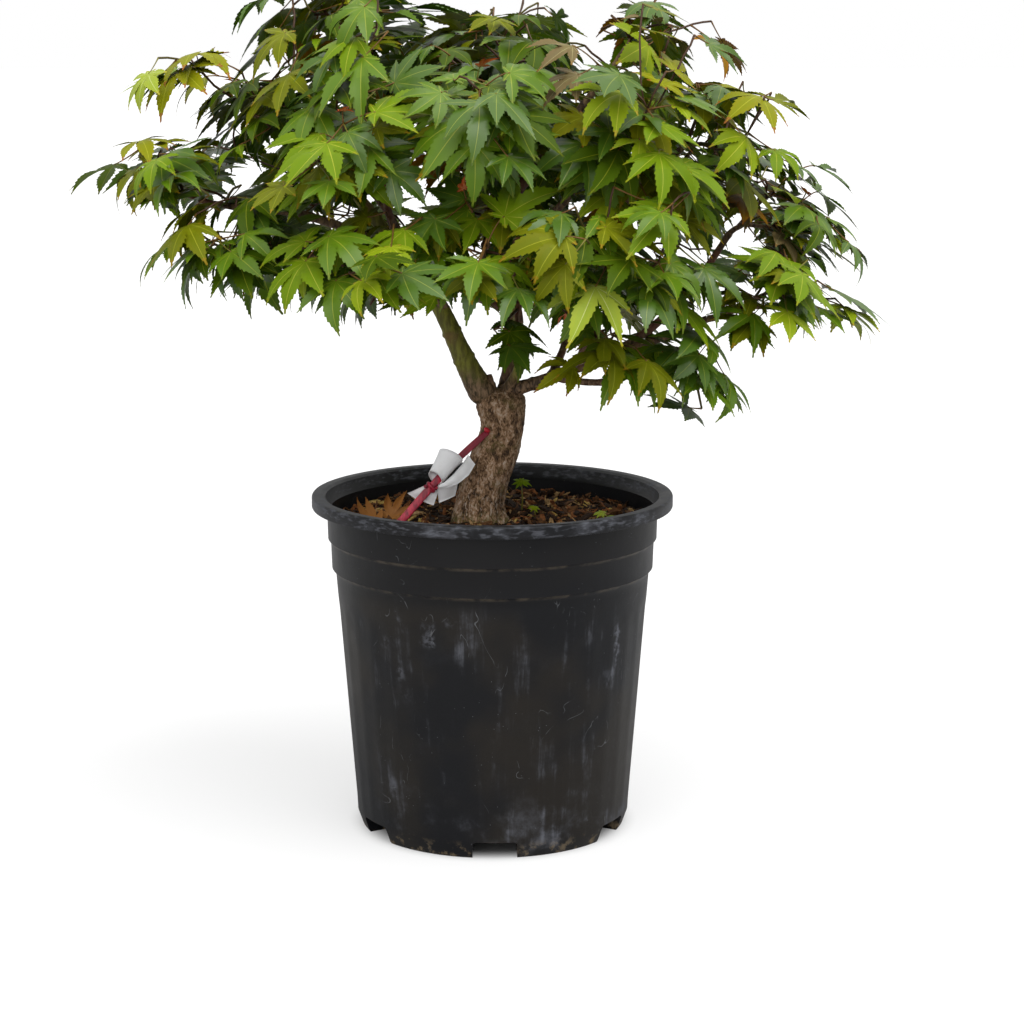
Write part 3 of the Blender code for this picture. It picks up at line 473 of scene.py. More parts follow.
@dataclass(frozen=True)
class Ribbon(Finish):
    """Glossy red plastic tape, stretched and creased, darker with painted shade where it runs to the trunk."""

    name: str = "red_tape"
    bright: Colour = (0.62, 0.03, 0.07)
    deep: Colour = (0.23, 0.008, 0.028)

    def dress(self, tree: Tree) -> bpy.types.Material:
        """Add the nodes.

        Args:
            tree: The material's nodes.

        Returns:
            The material.
        """
        folds = tree.noise((260.0, 260.0, 60.0), 3.0)
        # above 0.3 m, towards the trunk, the tape is darker: painted shade
        above = tree.height().ramp(0.292, 0.3)
        coloured = tree.mix(folds.ramp(0.35, 0.68) * (1.0 - above * 0.75), self.deep, self.bright)
        tree.bump(folds, 0.0006, 0.5)
        return tree.finish(base_color=coloured, roughness=0.38)


@dataclass(frozen=True)
class Card(Finish):
    """Blank white plastic card, a little soiled."""

    name: str = "white_card"
    clean: Colour = (0.93, 0.93, 0.95)
    soiled: Colour = (0.8, 0.79, 0.79)

    def dress(self, tree: Tree) -> bpy.types.Material:
        """Add the nodes.

        Args:
            tree: The material's nodes.

        Returns:
            The material.
        """
        stain = tree.noise(85.0, 4.0).ramp(0.48, 0.74)
        coloured = tree.mix(stain * 0.6, self.clean, self.soiled)
        tree.bump(tree.noise(240.0, 2.0), 0.0002, 0.3)
        return tree.finish(base_color=coloured, roughness=0.5)


class LeafPart(Enum):
    """The parts of a leaf that differ in colour."""

    BLADE = 0
    MARGIN = 1
    PALM = 2
    VEIN = 3
    TIP = 4


@dataclass(frozen=True)
class LeafTone:
    """The colours of the leaves on one spray, in ten-thousandths."""

    name: str
    blade: Whole
    margin: Whole
    palm: Whole
    tip: Whole
    rough: float
    vein: Whole
    shine: float = 0.09

    def finish(self, part: LeafPart) -> Plain:
        """The finish of one part."""
        colour = (self.blade, self.margin, self.palm, self.vein, self.tip)[part.value]
        return Plain(f"leaf_{self.name}_{part.name.lower()}", scaled(colour, TEN_THOUSANDTHS), self.rough, self.shine)


RUST = (2600, 950, 180)
GOLD = (3000, 2300, 180)
TONES = (
    LeafTone("deep", (480, 867, 20), (496, 882, 20), (577, 1008, 22), (692, 936, 22), 0.42, (1759, 2036, 134)),
    LeafTone("blue", (560, 1179, 59), (560, 1179, 55), (687, 1361, 57), (689, 1220, 46), 0.36, (2056, 2504, 270),
             0.44),
    LeafTone("middle", (846, 1640, 35), (879, 1654, 33), (1004, 1846, 39), (1104, 1635, 35), 0.4,
             (2499, 2892, 227), 0.3),
    LeafTone("grass", (1286, 2117, 46), (1333, 2130, 43), (1471, 2331, 50), (1836, 2103, 45), 0.42,
             (3216, 3520, 328)),
    LeafTone("fresh", (2017, 2775, 68), (2093, 2798, 65), (2240, 2966, 77), GOLD, 0.44, (4127, 4326, 402)),
    LeafTone("light", (2894, 3655, 375), (3029, 3689, 350), (3163, 3909, 395), (3656, 3313, 234), 0.44,
             (4920, 5433, 1886)),
    LeafTone("lime", (3659, 3919, 257), (3916, 3955, 240), (3980, 4228, 291), RUST, 0.46, (5521, 5597, 1844)),
    LeafTone("olive", (1272, 1481, 28), (1361, 1493, 27), (1484, 1685, 32), (2182, 1376, 56), 0.46,
             (2628, 2691, 167)),
    LeafTone("bronze", (2482, 1238, 55), (2868, 1205, 57), (2779, 1536, 65), RUST, 0.5, (3722, 2190, 202)),
    LeafTone("plum", (1590, 1223, 508), (1653, 1208, 497), (1774, 1415, 558), (1940, 1106, 285), 0.46,
             (3110, 2606, 1238)),
    LeafTone("amber", (2035, 2160, 38), (2159, 2133, 37), (2214, 2367, 43), RUST, 0.48, (3424, 3483, 239)),
    LeafTone("coral", (6588, 1566, 412), (6100, 1102, 299), (6832, 2088, 855), (5124, 696, 199), 0.5,
             (7320, 3016, 1425)),
)
GRASS, LIME, OLIVE, BRONZE, PLUM, AMBER, CORAL = 3, *range(6, 12)
OLD_BARK = Bark()
GREEN_RIND = Rind("green_rind", (0.21, 0.205, 0.026), (0.1, 0.092, 0.014), (0.15, 0.085, 0.026))
BROWN_RIND = Rind("brown_rind", (0.19, 0.118, 0.055), (0.05, 0.027, 0.015), (0.13, 0.046, 0.026))
TWIG_RIND = Plain("twig_rind", (0.062, 0.029, 0.013), 0.52)
GREEN_TWIG = Plain("green_twig", (0.085, 0.068, 0.013), 0.5)
STALK_SKIN = Plain("stalk_skin", (0.16, 0.078, 0.018), 0.42)
STALK_GREEN = Plain("stalk_green", (0.175, 0.16, 0.024), 0.42)


# ---- meshes


class Builder:
    """Gathers the triangles of one piece, each with the finish that it wears."""

    def __init__(self) -> None:
        """Start with nothing."""
        self.vertices: list[np.ndarray] = []
        self.triangles: list[np.ndarray] = []
        self.slots: list[np.ndarray] = []
        self.finishes: dict[Finish, int] = {}
        self.count = 0

    def slot(self, finish: Finish) -> int:
        """The slot of a finish, added if the piece doesn't have it yet."""
        return self.finishes.setdefault(finish, len(self.finishes))

    def add(self, vertices: np.ndarray, triangles: np.ndarray, slots: np.ndarray | int) -> None:
        """Add vertices and the triangles between them.

        Args:
            vertices: One row of x, y, z for each.
            triangles: Rows of three places in vertices.
            slots: A finish's slot, for all triangles or for each.
        """
        self.vertices.append(vertices)
        self.triangles.append(triangles + self.count)
        self.slots.append(np.broadcast_to(slots, len(triangles)))
        self.count += len(vertices)

    def piece(self, name: str, smooth: bool = True) -> bpy.types.Object:
        """Make the object, in the scene's own collection.

        Args:
            name: The piece's name.
            smooth: Whether its faces are shaded smooth.

        Returns:
            The mesh object.
        """
        vertices, triangles = np.concatenate(self.vertices), np.concatenate(self.triangles)
        mesh = bpy.data.meshes.new(name)
        mesh.vertices.add(len(vertices))
        mesh.loops.add(3 * len(triangles))
        mesh.polygons.add(len(triangles))
        for part, attribute, values in (
                (mesh.vertices, "co", vertices.astype(np.float32)),
                (mesh.loops, "vertex_index", triangles.astype(np.int32)),
                (mesh.polygons, "loop_start", np.arange(0, 3 * len(triangles), 3, dtype=np.int32)),
                (mesh.polygons, "material_index", np.concatenate(self.slots).astype(np.int32)),
                (mesh.polygons, "use_smooth", np.full(len(triangles), smooth))):
            part.foreach_set(attribute, values.ravel())
        for finish in self.finishes:
            mesh.materials.append(finish.material())
        mesh.update(calc_edges=True)
        mesh.validate()
        obj = bpy.data.objects.new(name, mesh)
        bpy.context.scene.collection.objects.link(obj)
        return obj


def settle(obj: bpy.types.Object, slot: str, *nodes: str) -> bpy.types.Object:
    """Ride a finished piece on the plant, and hide the solids that it replaces.

    Args:
        obj: The piece.
        slot: The record's material slot. Not used.
        nodes: The solids that it replaces.

    Returns:
        The same piece.
    """
    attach(obj, BODY)
    if nodes:
        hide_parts(*nodes)
    log.info("%s: %d faces", obj.name, len(obj.data.polygons))
    return obj


def rings_to_triangles(rings: int, sides: int, closed: bool = True) -> np.ndarray:
    """The triangles between rings of vertices that follow one another.

    Args:
        rings: How many rings there are.
        sides: How many vertices are in each.
        closed: Whether each ring's last vertex joins its first.

    Returns:
        Rows of three places in the vertices.
    """
    ring, side = np.meshgrid(np.arange(rings - 1), np.arange(sides if closed else sides - 1), indexing="ij")
    a = (ring * sides + side).ravel()
    b = (ring * sides + (side + 1) % sides).ravel()
    return np.concatenate([np.stack([a, b, b + sides], 1), np.stack([a, b + sides, a + sides], 1)])


def closed_rings(rings: Sequence[np.ndarray], ends: Sequence[Point]) -> Surface:
    """A closed form of rings that follow one another between two points.

    Args:
        rings: The rings, each of as many points, clockwise as seen from the first end.
        ends: The point before the first ring and the point after the last.

    Returns:
        Its vertices and triangles.
    """
    sides, vertices = len(rings[0]), np.concatenate([*rings, np.array(ends)])
    side = np.arange(sides)
    after = (side + 1) % sides
    last = (len(rings) - 1) * sides
    foot = np.stack([after, side, np.full(sides, len(vertices) - 2)], 1)
    head = np.stack([last + side, last + after, np.full(sides, len(vertices) - 1)], 1)
    return vertices, np.concatenate([rings_to_triangles(len(rings), sides), foot, head])


def carried_frames(points: Sequence[Vector]) -> list[Matrix]:
    """A turn for each point of a path that keeps its roll as it goes.

    Args:
        points: The path.

    Returns:
        A rotation for each point, with +Z along the path.
    """
    ways = [(b - a).normalized() for a, b in zip(points, points[1:])]
    means = [(a + b).normalized() for a, b in zip([ways[0], *ways], [*ways, ways[-1]])]
    turn = means[0].to_track_quat("Z", "Y")
    turns = [turn.to_matrix()]
    for before, after in zip(means, means[1:]):
        turn = before.rotation_difference(after) @ turn
        turns.append(turn.to_matrix())
    return turns


def tube(points: Sequence[Vector], radii: Sequence[float], sides: int) -> Surface:
    """A closed round tube along a path.

    Args:
        points: The path.
        radii: A radius at each point.
        sides: How many faces go round it.

    Returns:
        Its vertices and triangles.
    """
    angles = np.arange(sides) * math.tau / sides
    circle = np.stack([np.cos(angles), np.sin(angles), np.zeros(sides)])
    rings = [(np.array(turn) @ circle * radius).T + np.array(point)
             for turn, radius, point in zip(carried_frames(points), radii, points)]
    return closed_rings(rings, (points[0], points[-1]))


def bezier(start: Vector, middle: Vector, end: Vector, count: int) -> list[Vector]:
    """Points on a curve of one bend, from start to end."""
    shares = [step / count for step in range(count + 1)]
    return [(1 - t) ** 2 * start + 2 * t * (1 - t) * middle + t**2 * end for t in shares]


def tapered(first: float, last: float, count: int) -> list[float]:
    """Radii that go from first to last in this many even steps."""
    return [first + (last - first) * step / count for step in range(count + 1)]


def point_along(points: Sequence[Vector], share: float) -> Vector:
    """The point at a share of a path's count of steps.

    Args:
        points: The path.
        share: From 0 at its start to 1 at its end.

    Returns:
        The point.
    """
    place = share * (len(points) - 1)
    index = min(int(place), len(points) - 2)
    return points[index].lerp(points[index + 1], place - index)


def placed(points: np.ndarray, matrix: Matrix) -> np.ndarray:
    """Points turned, scaled and moved by a matrix."""
    return points @ np.array(matrix.to_3x3()).T + np.array(matrix.translation)


def facing(forward: Vector, normal: Vector) -> Matrix:
    """A rotation that takes +Z to normal and +Y as near to forward as it can.

    Args:
        forward: The way for +Y.
        normal: The way for +Z.

    Returns:
        The rotation.
    """
    upper = normal.normalized()
    side = forward.cross(upper).normalized()
    return Matrix((side, upper.cross(side), upper)).transposed()


# ---- limbs


@dataclass(frozen=True)
class Limb:
    """A tapering limb of the frame, and where the mass of leaves on it reaches.

    LIMB_ROWS gives the start in hundredths of its parent's length, the radii in tenths of a
    millimetre and the points in millimetres.
    """

    name: str
    parent: str
    leaves_at: float
    tip: Point
    bow: Point
    radii: Pair
    reach: Point

    @property
    def mass(self) -> str:
        """The name of its mass of leaves."""
        return self.name.rsplit("_", 1)[0] + "_leaves"


LIMB_ROWS = (
    ("left_high_bough", "trunk", 90, (-155, 0, 566), (16, -10, -16), (90, 32), (-294, 0, 592)),
    ("right_far_bough", "trunk", 88, (166, -26, 408), (-10, -8, -6), (50, 30), (322, -10, 436)),
    ("top_bough", "trunk", 90, (2, 0, 565), (16, 16, 4), (60, 30), (-9, -20, 628)),
    ("front_middle_bough", "trunk", 92, (0, -85, 466), (18, 4, -12), (36, 26), (-13, -235, 462)),
    ("left_far_branch", "left_high_bough", 55, (-200, 0, 492), (0, 0, 10), (42, 28), (-352, 0, 545)),
    ("left_low_branch", "left_high_bough", 42, (-160, -30, 456), (0, 0, 12), (38, 26), (-290, -30, 464)),
    ("front_left_low_branch", "left_high_bough", 36, (-71, -90, 452), (4, 4, 10), (36, 26), (-154, -205, 452)),
    ("front_left_high_branch", "left_high_bough", 54, (-79, -80, 525), (-6, -2, 4), (36, 26), (-139, -205, 546)),
    ("back_left_branch", "left_high_bough", 48, (-99, 90, 499), (0, -6, 8), (36, 26), (-209, 220, 490)),
    ("top_left_branch", "top_bough", 62, (-102, 20, 604), (-6, 0, 12), (40, 26), (-168, 30, 704)),
    ("top_right_branch", "top_bough", 68, (91, 10, 596), (6, 0, 8), (40, 26), (150, 20, 688)),
    ("front_high_branch", "top_bough", 60, (-1, -75, 539), (0, -2, -4), (36, 26), (-13, -210, 577)),
    ("front_right_high_branch", "top_bough", 52, (74, -70, 528), (2, -2, -6), (36, 26), (139, -195, 563)),
    ("right_high_branch", "top_bough", 44, (144, -10, 536), (6, 0, -8), (40, 26), (253, 0, 546)),
    ("back_branch", "top_bough", 36, (-2, 100, 474), (0, 6, -6), (36, 26), (-12, 255, 480)),
    ("back_high_branch", "top_bough", 76, (6, 80, 585), (0, 6, -4), (36, 26), (14, 200, 628)),
    ("back_right_branch", "top_bough", 40, (103, 90, 491), (6, 6, -8), (36, 26), (210, 210, 491)),
    ("back_left_low_branch", "top_bough", 26, (-51, 90, 435), (0, 4, -4), (36, 26), (-97, 200, 421)),
    ("front_low_branch", "front_middle_bough", 52, (20, -62, 424), (2, -2, -2), (28, 22), (20, -96, 352)),
    ("right_low_branch", "right_far_bough", 28, (132, -54, 380), (0, -2, -10), (30, 22), (214, -66, 346)),
    ("right_mid_branch", "right_far_bough", 60, (186, 20, 470), (4, 0, -8), (36, 26), (314, 20, 486)),
    ("front_right_branch", "right_far_bough", 44, (85, -98, 452), (-2, -2, -4), (36, 26), (134, -225, 458)),
    ("front_right_low_branch", "right_far_bough", 36, (76, -80, 400), (0, -2, -4), (30, 24), (107, -170, 374)),
    ("back_right_low_branch", "right_far_bough", 30, (71, 85, 418), (0, 2, -6), (34, 24), (108, 200, 407)),
)
LIMBS = [Limb(name, parent, leaves_at / 100, scaled(tip, MILLIMETRES), scaled(bow, MILLIMETRES),
              scaled(radii, TENTHS), scaled(reach, MILLIMETRES))
         for name, parent, leaves_at, tip, bow, radii, reach in LIMB_ROWS]


@dataclass
class Wood:
    """The trunk, its boughs and the pruned stub, with bark that has real relief."""

    clear: float = 0.0003
    soil_height: float = SOIL_HEIGHT
    trunk: tuple[tuple[float, ...], ...] = (
        (-0.01, -0.012, 0.0, 0.0226),
        (-0.01, -0.012, 0.007, 0.0203),
        (-0.0088, -0.012, 0.018, 0.0188),
        (-0.003, -0.011, 0.04, 0.018),
        (0.004, -0.01, 0.058, 0.0173),
        (0.0078, -0.009, 0.074, 0.0168),
        (0.0075, -0.008, 0.088, 0.019),
        (0.0068, -0.0075, 0.097, 0.0188),
        (0.0066, -0.0075, 0.102, 0.015),
        (0.0066, -0.0075, 0.1046, 0.0098),
        (0.0066, -0.0075, 0.1056, 0.004),
    )
    trunk_sides: int = 110
    trunk_rings: int = 120
    limb_step: float = 0.045
    ring_step: float = 0.0016
    limb_sides: int = 18
    node_spacing: Pair = (0.022, 0.04)
    flank: Pair = (0.0085, 0.06)
    flanks: dict[str, Pair] = field(default_factory=lambda: {"left_high_bough": (0.0155, 0.1)})
    green_limbs: tuple[str, ...] = ("left_high_bough", "front_middle_bough")
    root_steps: int = 10
    root_lean: float = 0.0017
    trunk_height: float = 0.102
    bough_collar: Pair = (0.32, 0.016)
    branch_collar: Pair = (0.45, 0.007)
    bud_ring: Pair = (0.15, 0.0016)
    stub_steps: int = 8
    stub_sides: int = 12
    stub: tuple[Point, Point] = ((0.0022, -0.012, 0.342), (-0.0022, -0.014, 0.363))
    stub_radii: Pair = (0.0034, 0.0024)
    paths: dict[str, tuple[list[Vector], list[float]]] = field(default_factory=dict)

    def __post_init__(self) -> None:
        """Work out each limb's path, the trunk's first."""
        low = self.soil_height + self.clear
        points = [Vector((x, y, low + rise)) for x, y, rise, _ in self.trunk]
        self.paths["trunk"] = (points, [radius for *_, radius in self.trunk])
        for limb in LIMBS:
            start = point_along(self.paths[limb.parent][0], limb.leaves_at)
            tip = Vector(limb.tip)
            count = max(2, min(6, round((tip - start).length / self.limb_step)))
            middle = (start + tip) / 2 + 2 * Vector(limb.bow)
            self.paths[limb.name] = (bezier(start, middle, tip, count), tapered(*limb.radii, count))

    def smooth_path(self, name: str, step: float) -> tuple[list[Vector], list[float]]:
        """A limb's path with a point at every step along it, rounded through its own points.

        Args:
            name: The limb.
            step: The distance between points.

        Returns:
            The points and a radius at each.
        """
        points, radii = self.paths[name]
        rows = np.array([(*point, radius) for point, radius in zip(points, radii)])
        padded = np.concatenate([[2 * rows[0] - rows[1]], rows, [2 * rows[-1] - rows[-2]]])
        found = []
        for a, b, c, d in zip(padded, padded[1:], padded[2:], padded[3:]):
            count = max(1, round(float(np.linalg.norm(c[:3] - b[:3])) / step))
            for t in np.arange(count) / count:
                found.append(0.5 * (2 * b + (c - a) * t + (2 * a - 5 * b + 4 * c - d) * t**2
                                    + (3 * b - a - 3 * c + d) * t**3))
        found.append(rows[-1])
        return [Vector(row[:3]) for row in found], [float(row[3]) for row in found]

    @staticmethod
    def ridges(point: Vector, across: float, along: float) -> float:
        """Relief in upright ridges, from -1 to 1, of these widths and lengths."""
        return noise.noise(Vector((point.x / across, point.y / across, point.z / along)))

    def trunk_relief(self, point: Vector, outward: Vector, share: float) -> float:
        """How far the trunk's bark stands out at a point of its surface.

        Args:
            point: The point, as yet without relief.
            outward: The way out there.
            share: How far up the trunk it lies, from 0 to 1.

        Returns:
            The distance, below 0 where it sinks in.
        """
        broad = self.ridges(point, 0.011, 0.026)
        plates = abs(self.ridges(point + Vector((0.3, 0.1, 0.0)), 0.005, 0.0095))
        fine = self.ridges(point + Vector((0.7, 0.4, 0.2)), 0.0018, 0.003)
        knobs = abs(self.ridges(point + Vector((1.7, 0.9, 0.5)), 0.0024, 0.003))
        angle = math.atan2(outward.y, outward.x)
        flare = max(0.0, 1.0 - share / 0.16) ** 1.6 * (0.001 + 0.0012 * math.cos(5.0 * angle + 0.6))
        return 0.0011 * broad - 0.0017 * plates + 0.0005 * fine - 0.0006 * knobs + flare + 0.0004

    def make_trunk(self) -> None:
        """The trunk and the pruned stub."""
        builder = Builder()
        points, radii = self.smooth_path("trunk", self.trunk_height / self.trunk_rings)
        vertices, triangles = tube(points, radii, self.trunk_sides)
        for ring, middle in enumerate(points):
            share = ring / (len(points) - 1)
            for side in range(self.trunk_sides):
                index = ring * self.trunk_sides + side
                spot = Vector(vertices[index])
                outward = (spot - middle).normalized()
                vertices[index] = spot + outward * self.trunk_relief(spot, outward, share)
        builder.add(vertices, triangles, builder.slot(OLD_BARK))
        foot, head = Vector(self.stub[0]), Vector(self.stub[1])
        stub = [foot.lerp(head, step / self.stub_steps) for step in range(self.stub_steps + 1)]
        radii = tapered(*self.stub_radii, self.stub_steps)
        radii[-1] *= 0.8
        builder.add(*tube(stub, radii, self.stub_sides), builder.slot(BROWN_RIND))
        settle(builder.piece("trunk_bark"), "bark", "trunk")

    def make_limb(self, limb: Limb, rng: random.Random) -> None:
        """One limb, with its collar, the rings of old buds and a slight unevenness.

        Args:
            limb: The limb.
            rng: Where its rings lie comes from this.
        """
        points, radii = self.smooth_path(limb.name, self.ring_step)
        length = self.ring_step * (len(points) - 1)
        main = limb.parent == "trunk"
        if main:
            away = (points[8] - points[0]) * Vector((1.0, 1.0, 0.0))
            shift, fade = self.flanks.get(limb.name, self.flank)
            for index, point in enumerate(points):
                left = max(0.0, 1.0 - index * self.ring_step / fade)
                point += away.normalized() * shift * left**2 * (3.0 - 2.0 * left)
            for _ in range(self.root_steps):
                inward = away.normalized() * -self.root_lean
                points.insert(0, points[0] + inward + Vector((0.0, 0.0, -self.ring_step)))
                radii.insert(0, radii[0] * 0.955)
        rings = []
        place = 0.6 * self.node_spacing[0]
        while place < length:
            rings.append(place)
            place += rng.uniform(*self.node_spacing)
        swell, fade = self.bough_collar if main else self.branch_collar
        rise, wide = self.bud_ring
        shaped = []
        for index, radius in enumerate(radii):
            along = index * self.ring_step
            beyond = abs(along - self.root_steps * self.ring_step) if main else along
            nodes = sum(rise * math.exp(-((along - ring) / wide) ** 2) for ring in rings)
            shaped.append(radius * (1.0 + swell * math.exp(-beyond / fade) + nodes) * 0.97)
        vertices, triangles = tube(points, shaped, self.limb_sides)
        for ring, middle in enumerate(points):
            for side in range(self.limb_sides):
                index = ring * self.limb_sides + side
                spot = Vector(vertices[index])
                lump = 0.06 * self.ridges(spot, 0.006, 0.011) + 0.05 * self.ridges(spot, 0.0018, 0.005)
                vertices[index] = middle + (spot - middle) * (1.0 + lump)
        builder = Builder()
        green = limb.name in self.green_limbs
        builder.add(vertices, triangles, builder.slot(GREEN_RIND if green else BROWN_RIND))
        settle(builder.piece(limb.name + "_bark"), "bark", limb.name)

    def make(self) -> None:
        """The trunk and every limb."""
        self.make_trunk()
        for number, limb in enumerate(LIMBS):
            self.make_limb(limb, random.Random(number + 101))


# ---- leaves


@dataclass(frozen=True)
class Lobe:
    """One lobe of a leaf, in shares of the middle lobe's length."""

    angle: float
    length: float
    width: float
    teeth: int


@dataclass
class LeafShape:
    """A palmate leaf, one unit long in its middle lobe, with its own bends and folds."""

    rng: random.Random
    lobes: tuple[Lobe, ...] = (
        Lobe(-122.0, 0.22, 0.04, 3), Lobe(-82.0, 0.58, 0.092, 6), Lobe(-41.0, 0.89, 0.134, 8),
        Lobe(0.0, 1.0, 0.148, 8),
        Lobe(41.0, 0.89, 0.134, 8), Lobe(82.0, 0.58, 0.092, 6), Lobe(122.0, 0.22, 0.04, 3),
    )
    sinus: float = 0.245
    sinus_ends: float = 0.05
    vein: Pair = (0.008, 0.0022)
    tooth: float = 0.025
    notch: float = 0.95
    bend: Pair = (0.2, 1.35)
    fold: Pair = (0.05, 0.55)
    tilt: Pair = (-0.15, 0.18)
    widest: float = 0.28
    vertices: list[np.ndarray] = field(default_factory=list)
    faces: list[tuple[int, int, int]] = field(default_factory=list)
    parts: list[int] = field(default_factory=list)

    def __post_init__(self) -> None:
        """Build every lobe between the bays that it shares with its neighbours."""
        rng = self.rng
        self.angles = [math.radians(lobe.angle + rng.uniform(-4.0, 4.0)) for lobe in self.lobes]
        self.lengths = [lobe.length * rng.uniform(0.84, 1.08) for lobe in self.lobes]
        base_bend, base_fold = rng.uniform(*self.bend), rng.uniform(*self.fold)
        bends = [base_bend * rng.uniform(0.5, 1.5) for _ in self.lobes]
        self.bends = [math.copysign(max(0.05, abs(bend)), bend) for bend in bends]
        self.folds = [base_fold * rng.uniform(0.4, 1.5) for _ in self.lobes]
        self.leans = [rng.uniform(-0.16, 0.16) for _ in self.lobes]
        spread = rng.uniform(*self.tilt)
        self.tilts = [spread * abs(math.sin(angle)) + rng.uniform(-0.1, 0.1) for angle in self.angles]
        self.centre = self.put(np.zeros(3))
        last = len(self.lobes) - 1
        bays = [self.end_bay(0, -1), *map(self.bay, range(last)), self.end_bay(last, 1)]
        for index, lobe in enumerate(self.lobes):
            self.build_lobe(index, lobe, bays[index], bays[index + 1])
        self.points = np.array(self.vertices)
        self.triangles = np.array(self.faces)
        self.face_parts = np.array(self.parts)

    def put(self, place: np.ndarray) -> int:
        """Add a vertex."""
        self.vertices.append(place)
        return len(self.vertices) - 1

    def face(self, side: int, a: int, b: int, c: int, part: LeafPart) -> None:
        """Add a triangle that faces up on either side of a lobe."""
        self.faces.append((a, b, c) if side > 0 else (a, c, b))
        self.parts.append(part.value)

    def place(self, index: int, along: float, across: float) -> np.ndarray:
        """Where a point of a lobe lies once the lobe is bent and folded.

        Args:
            index: The lobe.
            along: The distance out along its midrib, flat.
            across: The distance to the right of its midrib.

        Returns:
            The point.
        """
        angle = self.angles[index] + self.leans[index] * along**2
        axis = np.array([math.sin(angle), math.cos(angle), 0.0])
        side = np.array([math.cos(angle), -math.sin(angle), 0.0])
        bend, fold = self.bends[index], self.folds[index]
        turn = bend * along
        out = math.sin(turn) / bend
        drop = (1.0 - math.cos(turn)) / bend + self.tilts[index] * along
        free = min(1.0, max(0.0, along - 0.1) / 0.35)
        lift = free * (fold * abs(across) - 0.9 * across**2)
        up = np.array([0.0, 0.0, 1.0])
        outward = axis * (out + lift * math.sin(turn))
        return outward + side * across * math.cos(fold) + up * (lift * math.cos(turn) - drop)

    def bay(self, index: int) -> int:
        """The deepest point between a lobe and the next.

        Args:
            index: The first of the two lobes.

        Returns:
            The vertex.
        """
        half = (self.angles[index + 1] - self.angles[index]) / 2
        reach = self.sinus * (self.lengths[index] * self.lengths[index + 1]) ** 0.5
        along, across = reach * math.cos(half), reach * math.sin(half)
        spot = (self.place(index, along, across) + self.place(index + 1, along, -across)) / 2
        return self.put(spot)

    def end_bay(self, index: int, side: int) -> int:
        """The end of the blade beside the stalk."""
        return self.put(self.place(index, 0.2 * self.sinus_ends, side * self.sinus_ends))

    def half_width(self, lobe: Lobe, u: float) -> float:
        """Half of a lobe's width at a share of its free length, with a drawn-out tip."""
        u = min(1.0, max(0.0, u))
        return lobe.width / self.widest * (u + 0.15) * (1.0 - u) ** (1.1 + 0.8 * u)

    def build_lobe(self, index: int, lobe: Lobe, left: int, right: int) -> None:
        """Add a lobe's vein, blade and toothed margin.

        Args:
            index: The lobe's place.
            lobe: Its sizes.
            left: The bay on its left.
            right: The bay on its right.
        """
        length = self.lengths[index]
        start = self.sinus * 0.95
        shares = [start + (1.0 - start) * (step / (lobe.teeth + 1)) ** 0.92 for step in range(lobe.teeth + 1)]
        tip = self.put(self.place(index, length, 0.0))
        veins = []
        for share in shares:
            half = self.vein[1] + (self.vein[0] - self.vein[1]) * (1.0 - share)
            veins.append([self.put(self.place(index, share * length, side * half)) for side in (-1, 1)])
        self.face(1, self.centre, veins[0][1], veins[0][0], LeafPart.VEIN)
        for before, after in zip(veins, veins[1:]):
            self.face(1, before[0], before[1], after[1], LeafPart.VEIN)
            self.face(1, before[0], after[1], after[0], LeafPart.VEIN)
        self.face(1, veins[-1][0], veins[-1][1], tip, LeafPart.TIP)
        for side, bay in ((-1, left), (1, right)):
            self.build_side(index, lobe, side, bay, [pair[(side + 1) // 2] for pair in veins], shares, tip)

    def build_side(self, index: int, lobe: Lobe, side: int, bay: int, ribs: list[int],
                   shares: list[float], tip: int) -> None:
        """Add one side of a lobe, between its vein and its margin.

        Args:
            index: The lobe's place.
            lobe: Its sizes.
            side: -1 for the left, 1 for the right.
            bay: The vertex of the bay on that side.
            ribs: The vein's vertices on that side.
            shares: The stations, in shares of the lobe's length.
            tip: The tip's vertex.
        """
        length, start = self.lengths[index], shares[0]
        edge, notches = [bay], [bay]
        inner = [self.put((self.vertices[ribs[0]] + self.vertices[bay]) / 2)]
        step = shares[1] - shares[0]
        for share in shares[1:]:
            u = (share - start) / (1.0 - start)
            out = u + 0.3 * step
            wide = self.half_width(lobe, out) + self.tooth * (0.45 + 0.55 * (1.0 - u)) * self.rng.uniform(0.5, 1.5)
            edge.append(self.put(self.place(index, (share + 0.34 * step) * length, side * wide)))
            narrow = self.half_width(lobe, out + 0.16 * step) * self.notch
            notches.append(self.put(self.place(index, (share + 0.44 * step) * length, side * narrow)))
            middle = 0.55 * self.half_width(lobe, u)
            inner.append(self.put(self.place(index, share * length, side * middle)))
        self.face(side, self.centre, bay, inner[0], LeafPart.PALM)
        self.face(side, self.centre, inner[0], ribs[0], LeafPart.PALM)
        last = len(edge) - 1
        for number in range(last):
            far = number >= last - 1
            blade = LeafPart.TIP if far else LeafPart.PALM if number == 0 else LeafPart.BLADE
            outer = LeafPart.TIP if far else LeafPart.MARGIN
            self.face(side, ribs[number], inner[number], inner[number + 1], blade)
            self.face(side, ribs[number], inner[number + 1], ribs[number + 1], blade)
            if number:
                self.face(side, inner[number], edge[number], notches[number], outer)
            self.face(side, inner[number], notches[number], inner[number + 1], outer)
            self.face(side, inner[number + 1], notches[number], edge[number + 1], outer)
        self.face(side, ribs[last], inner[last], tip, LeafPart.TIP)
        self.face(side, inner[last], edge[last], notches[last], LeafPart.TIP)
        self.face(side, inner[last], notches[last], tip, LeafPart.TIP)


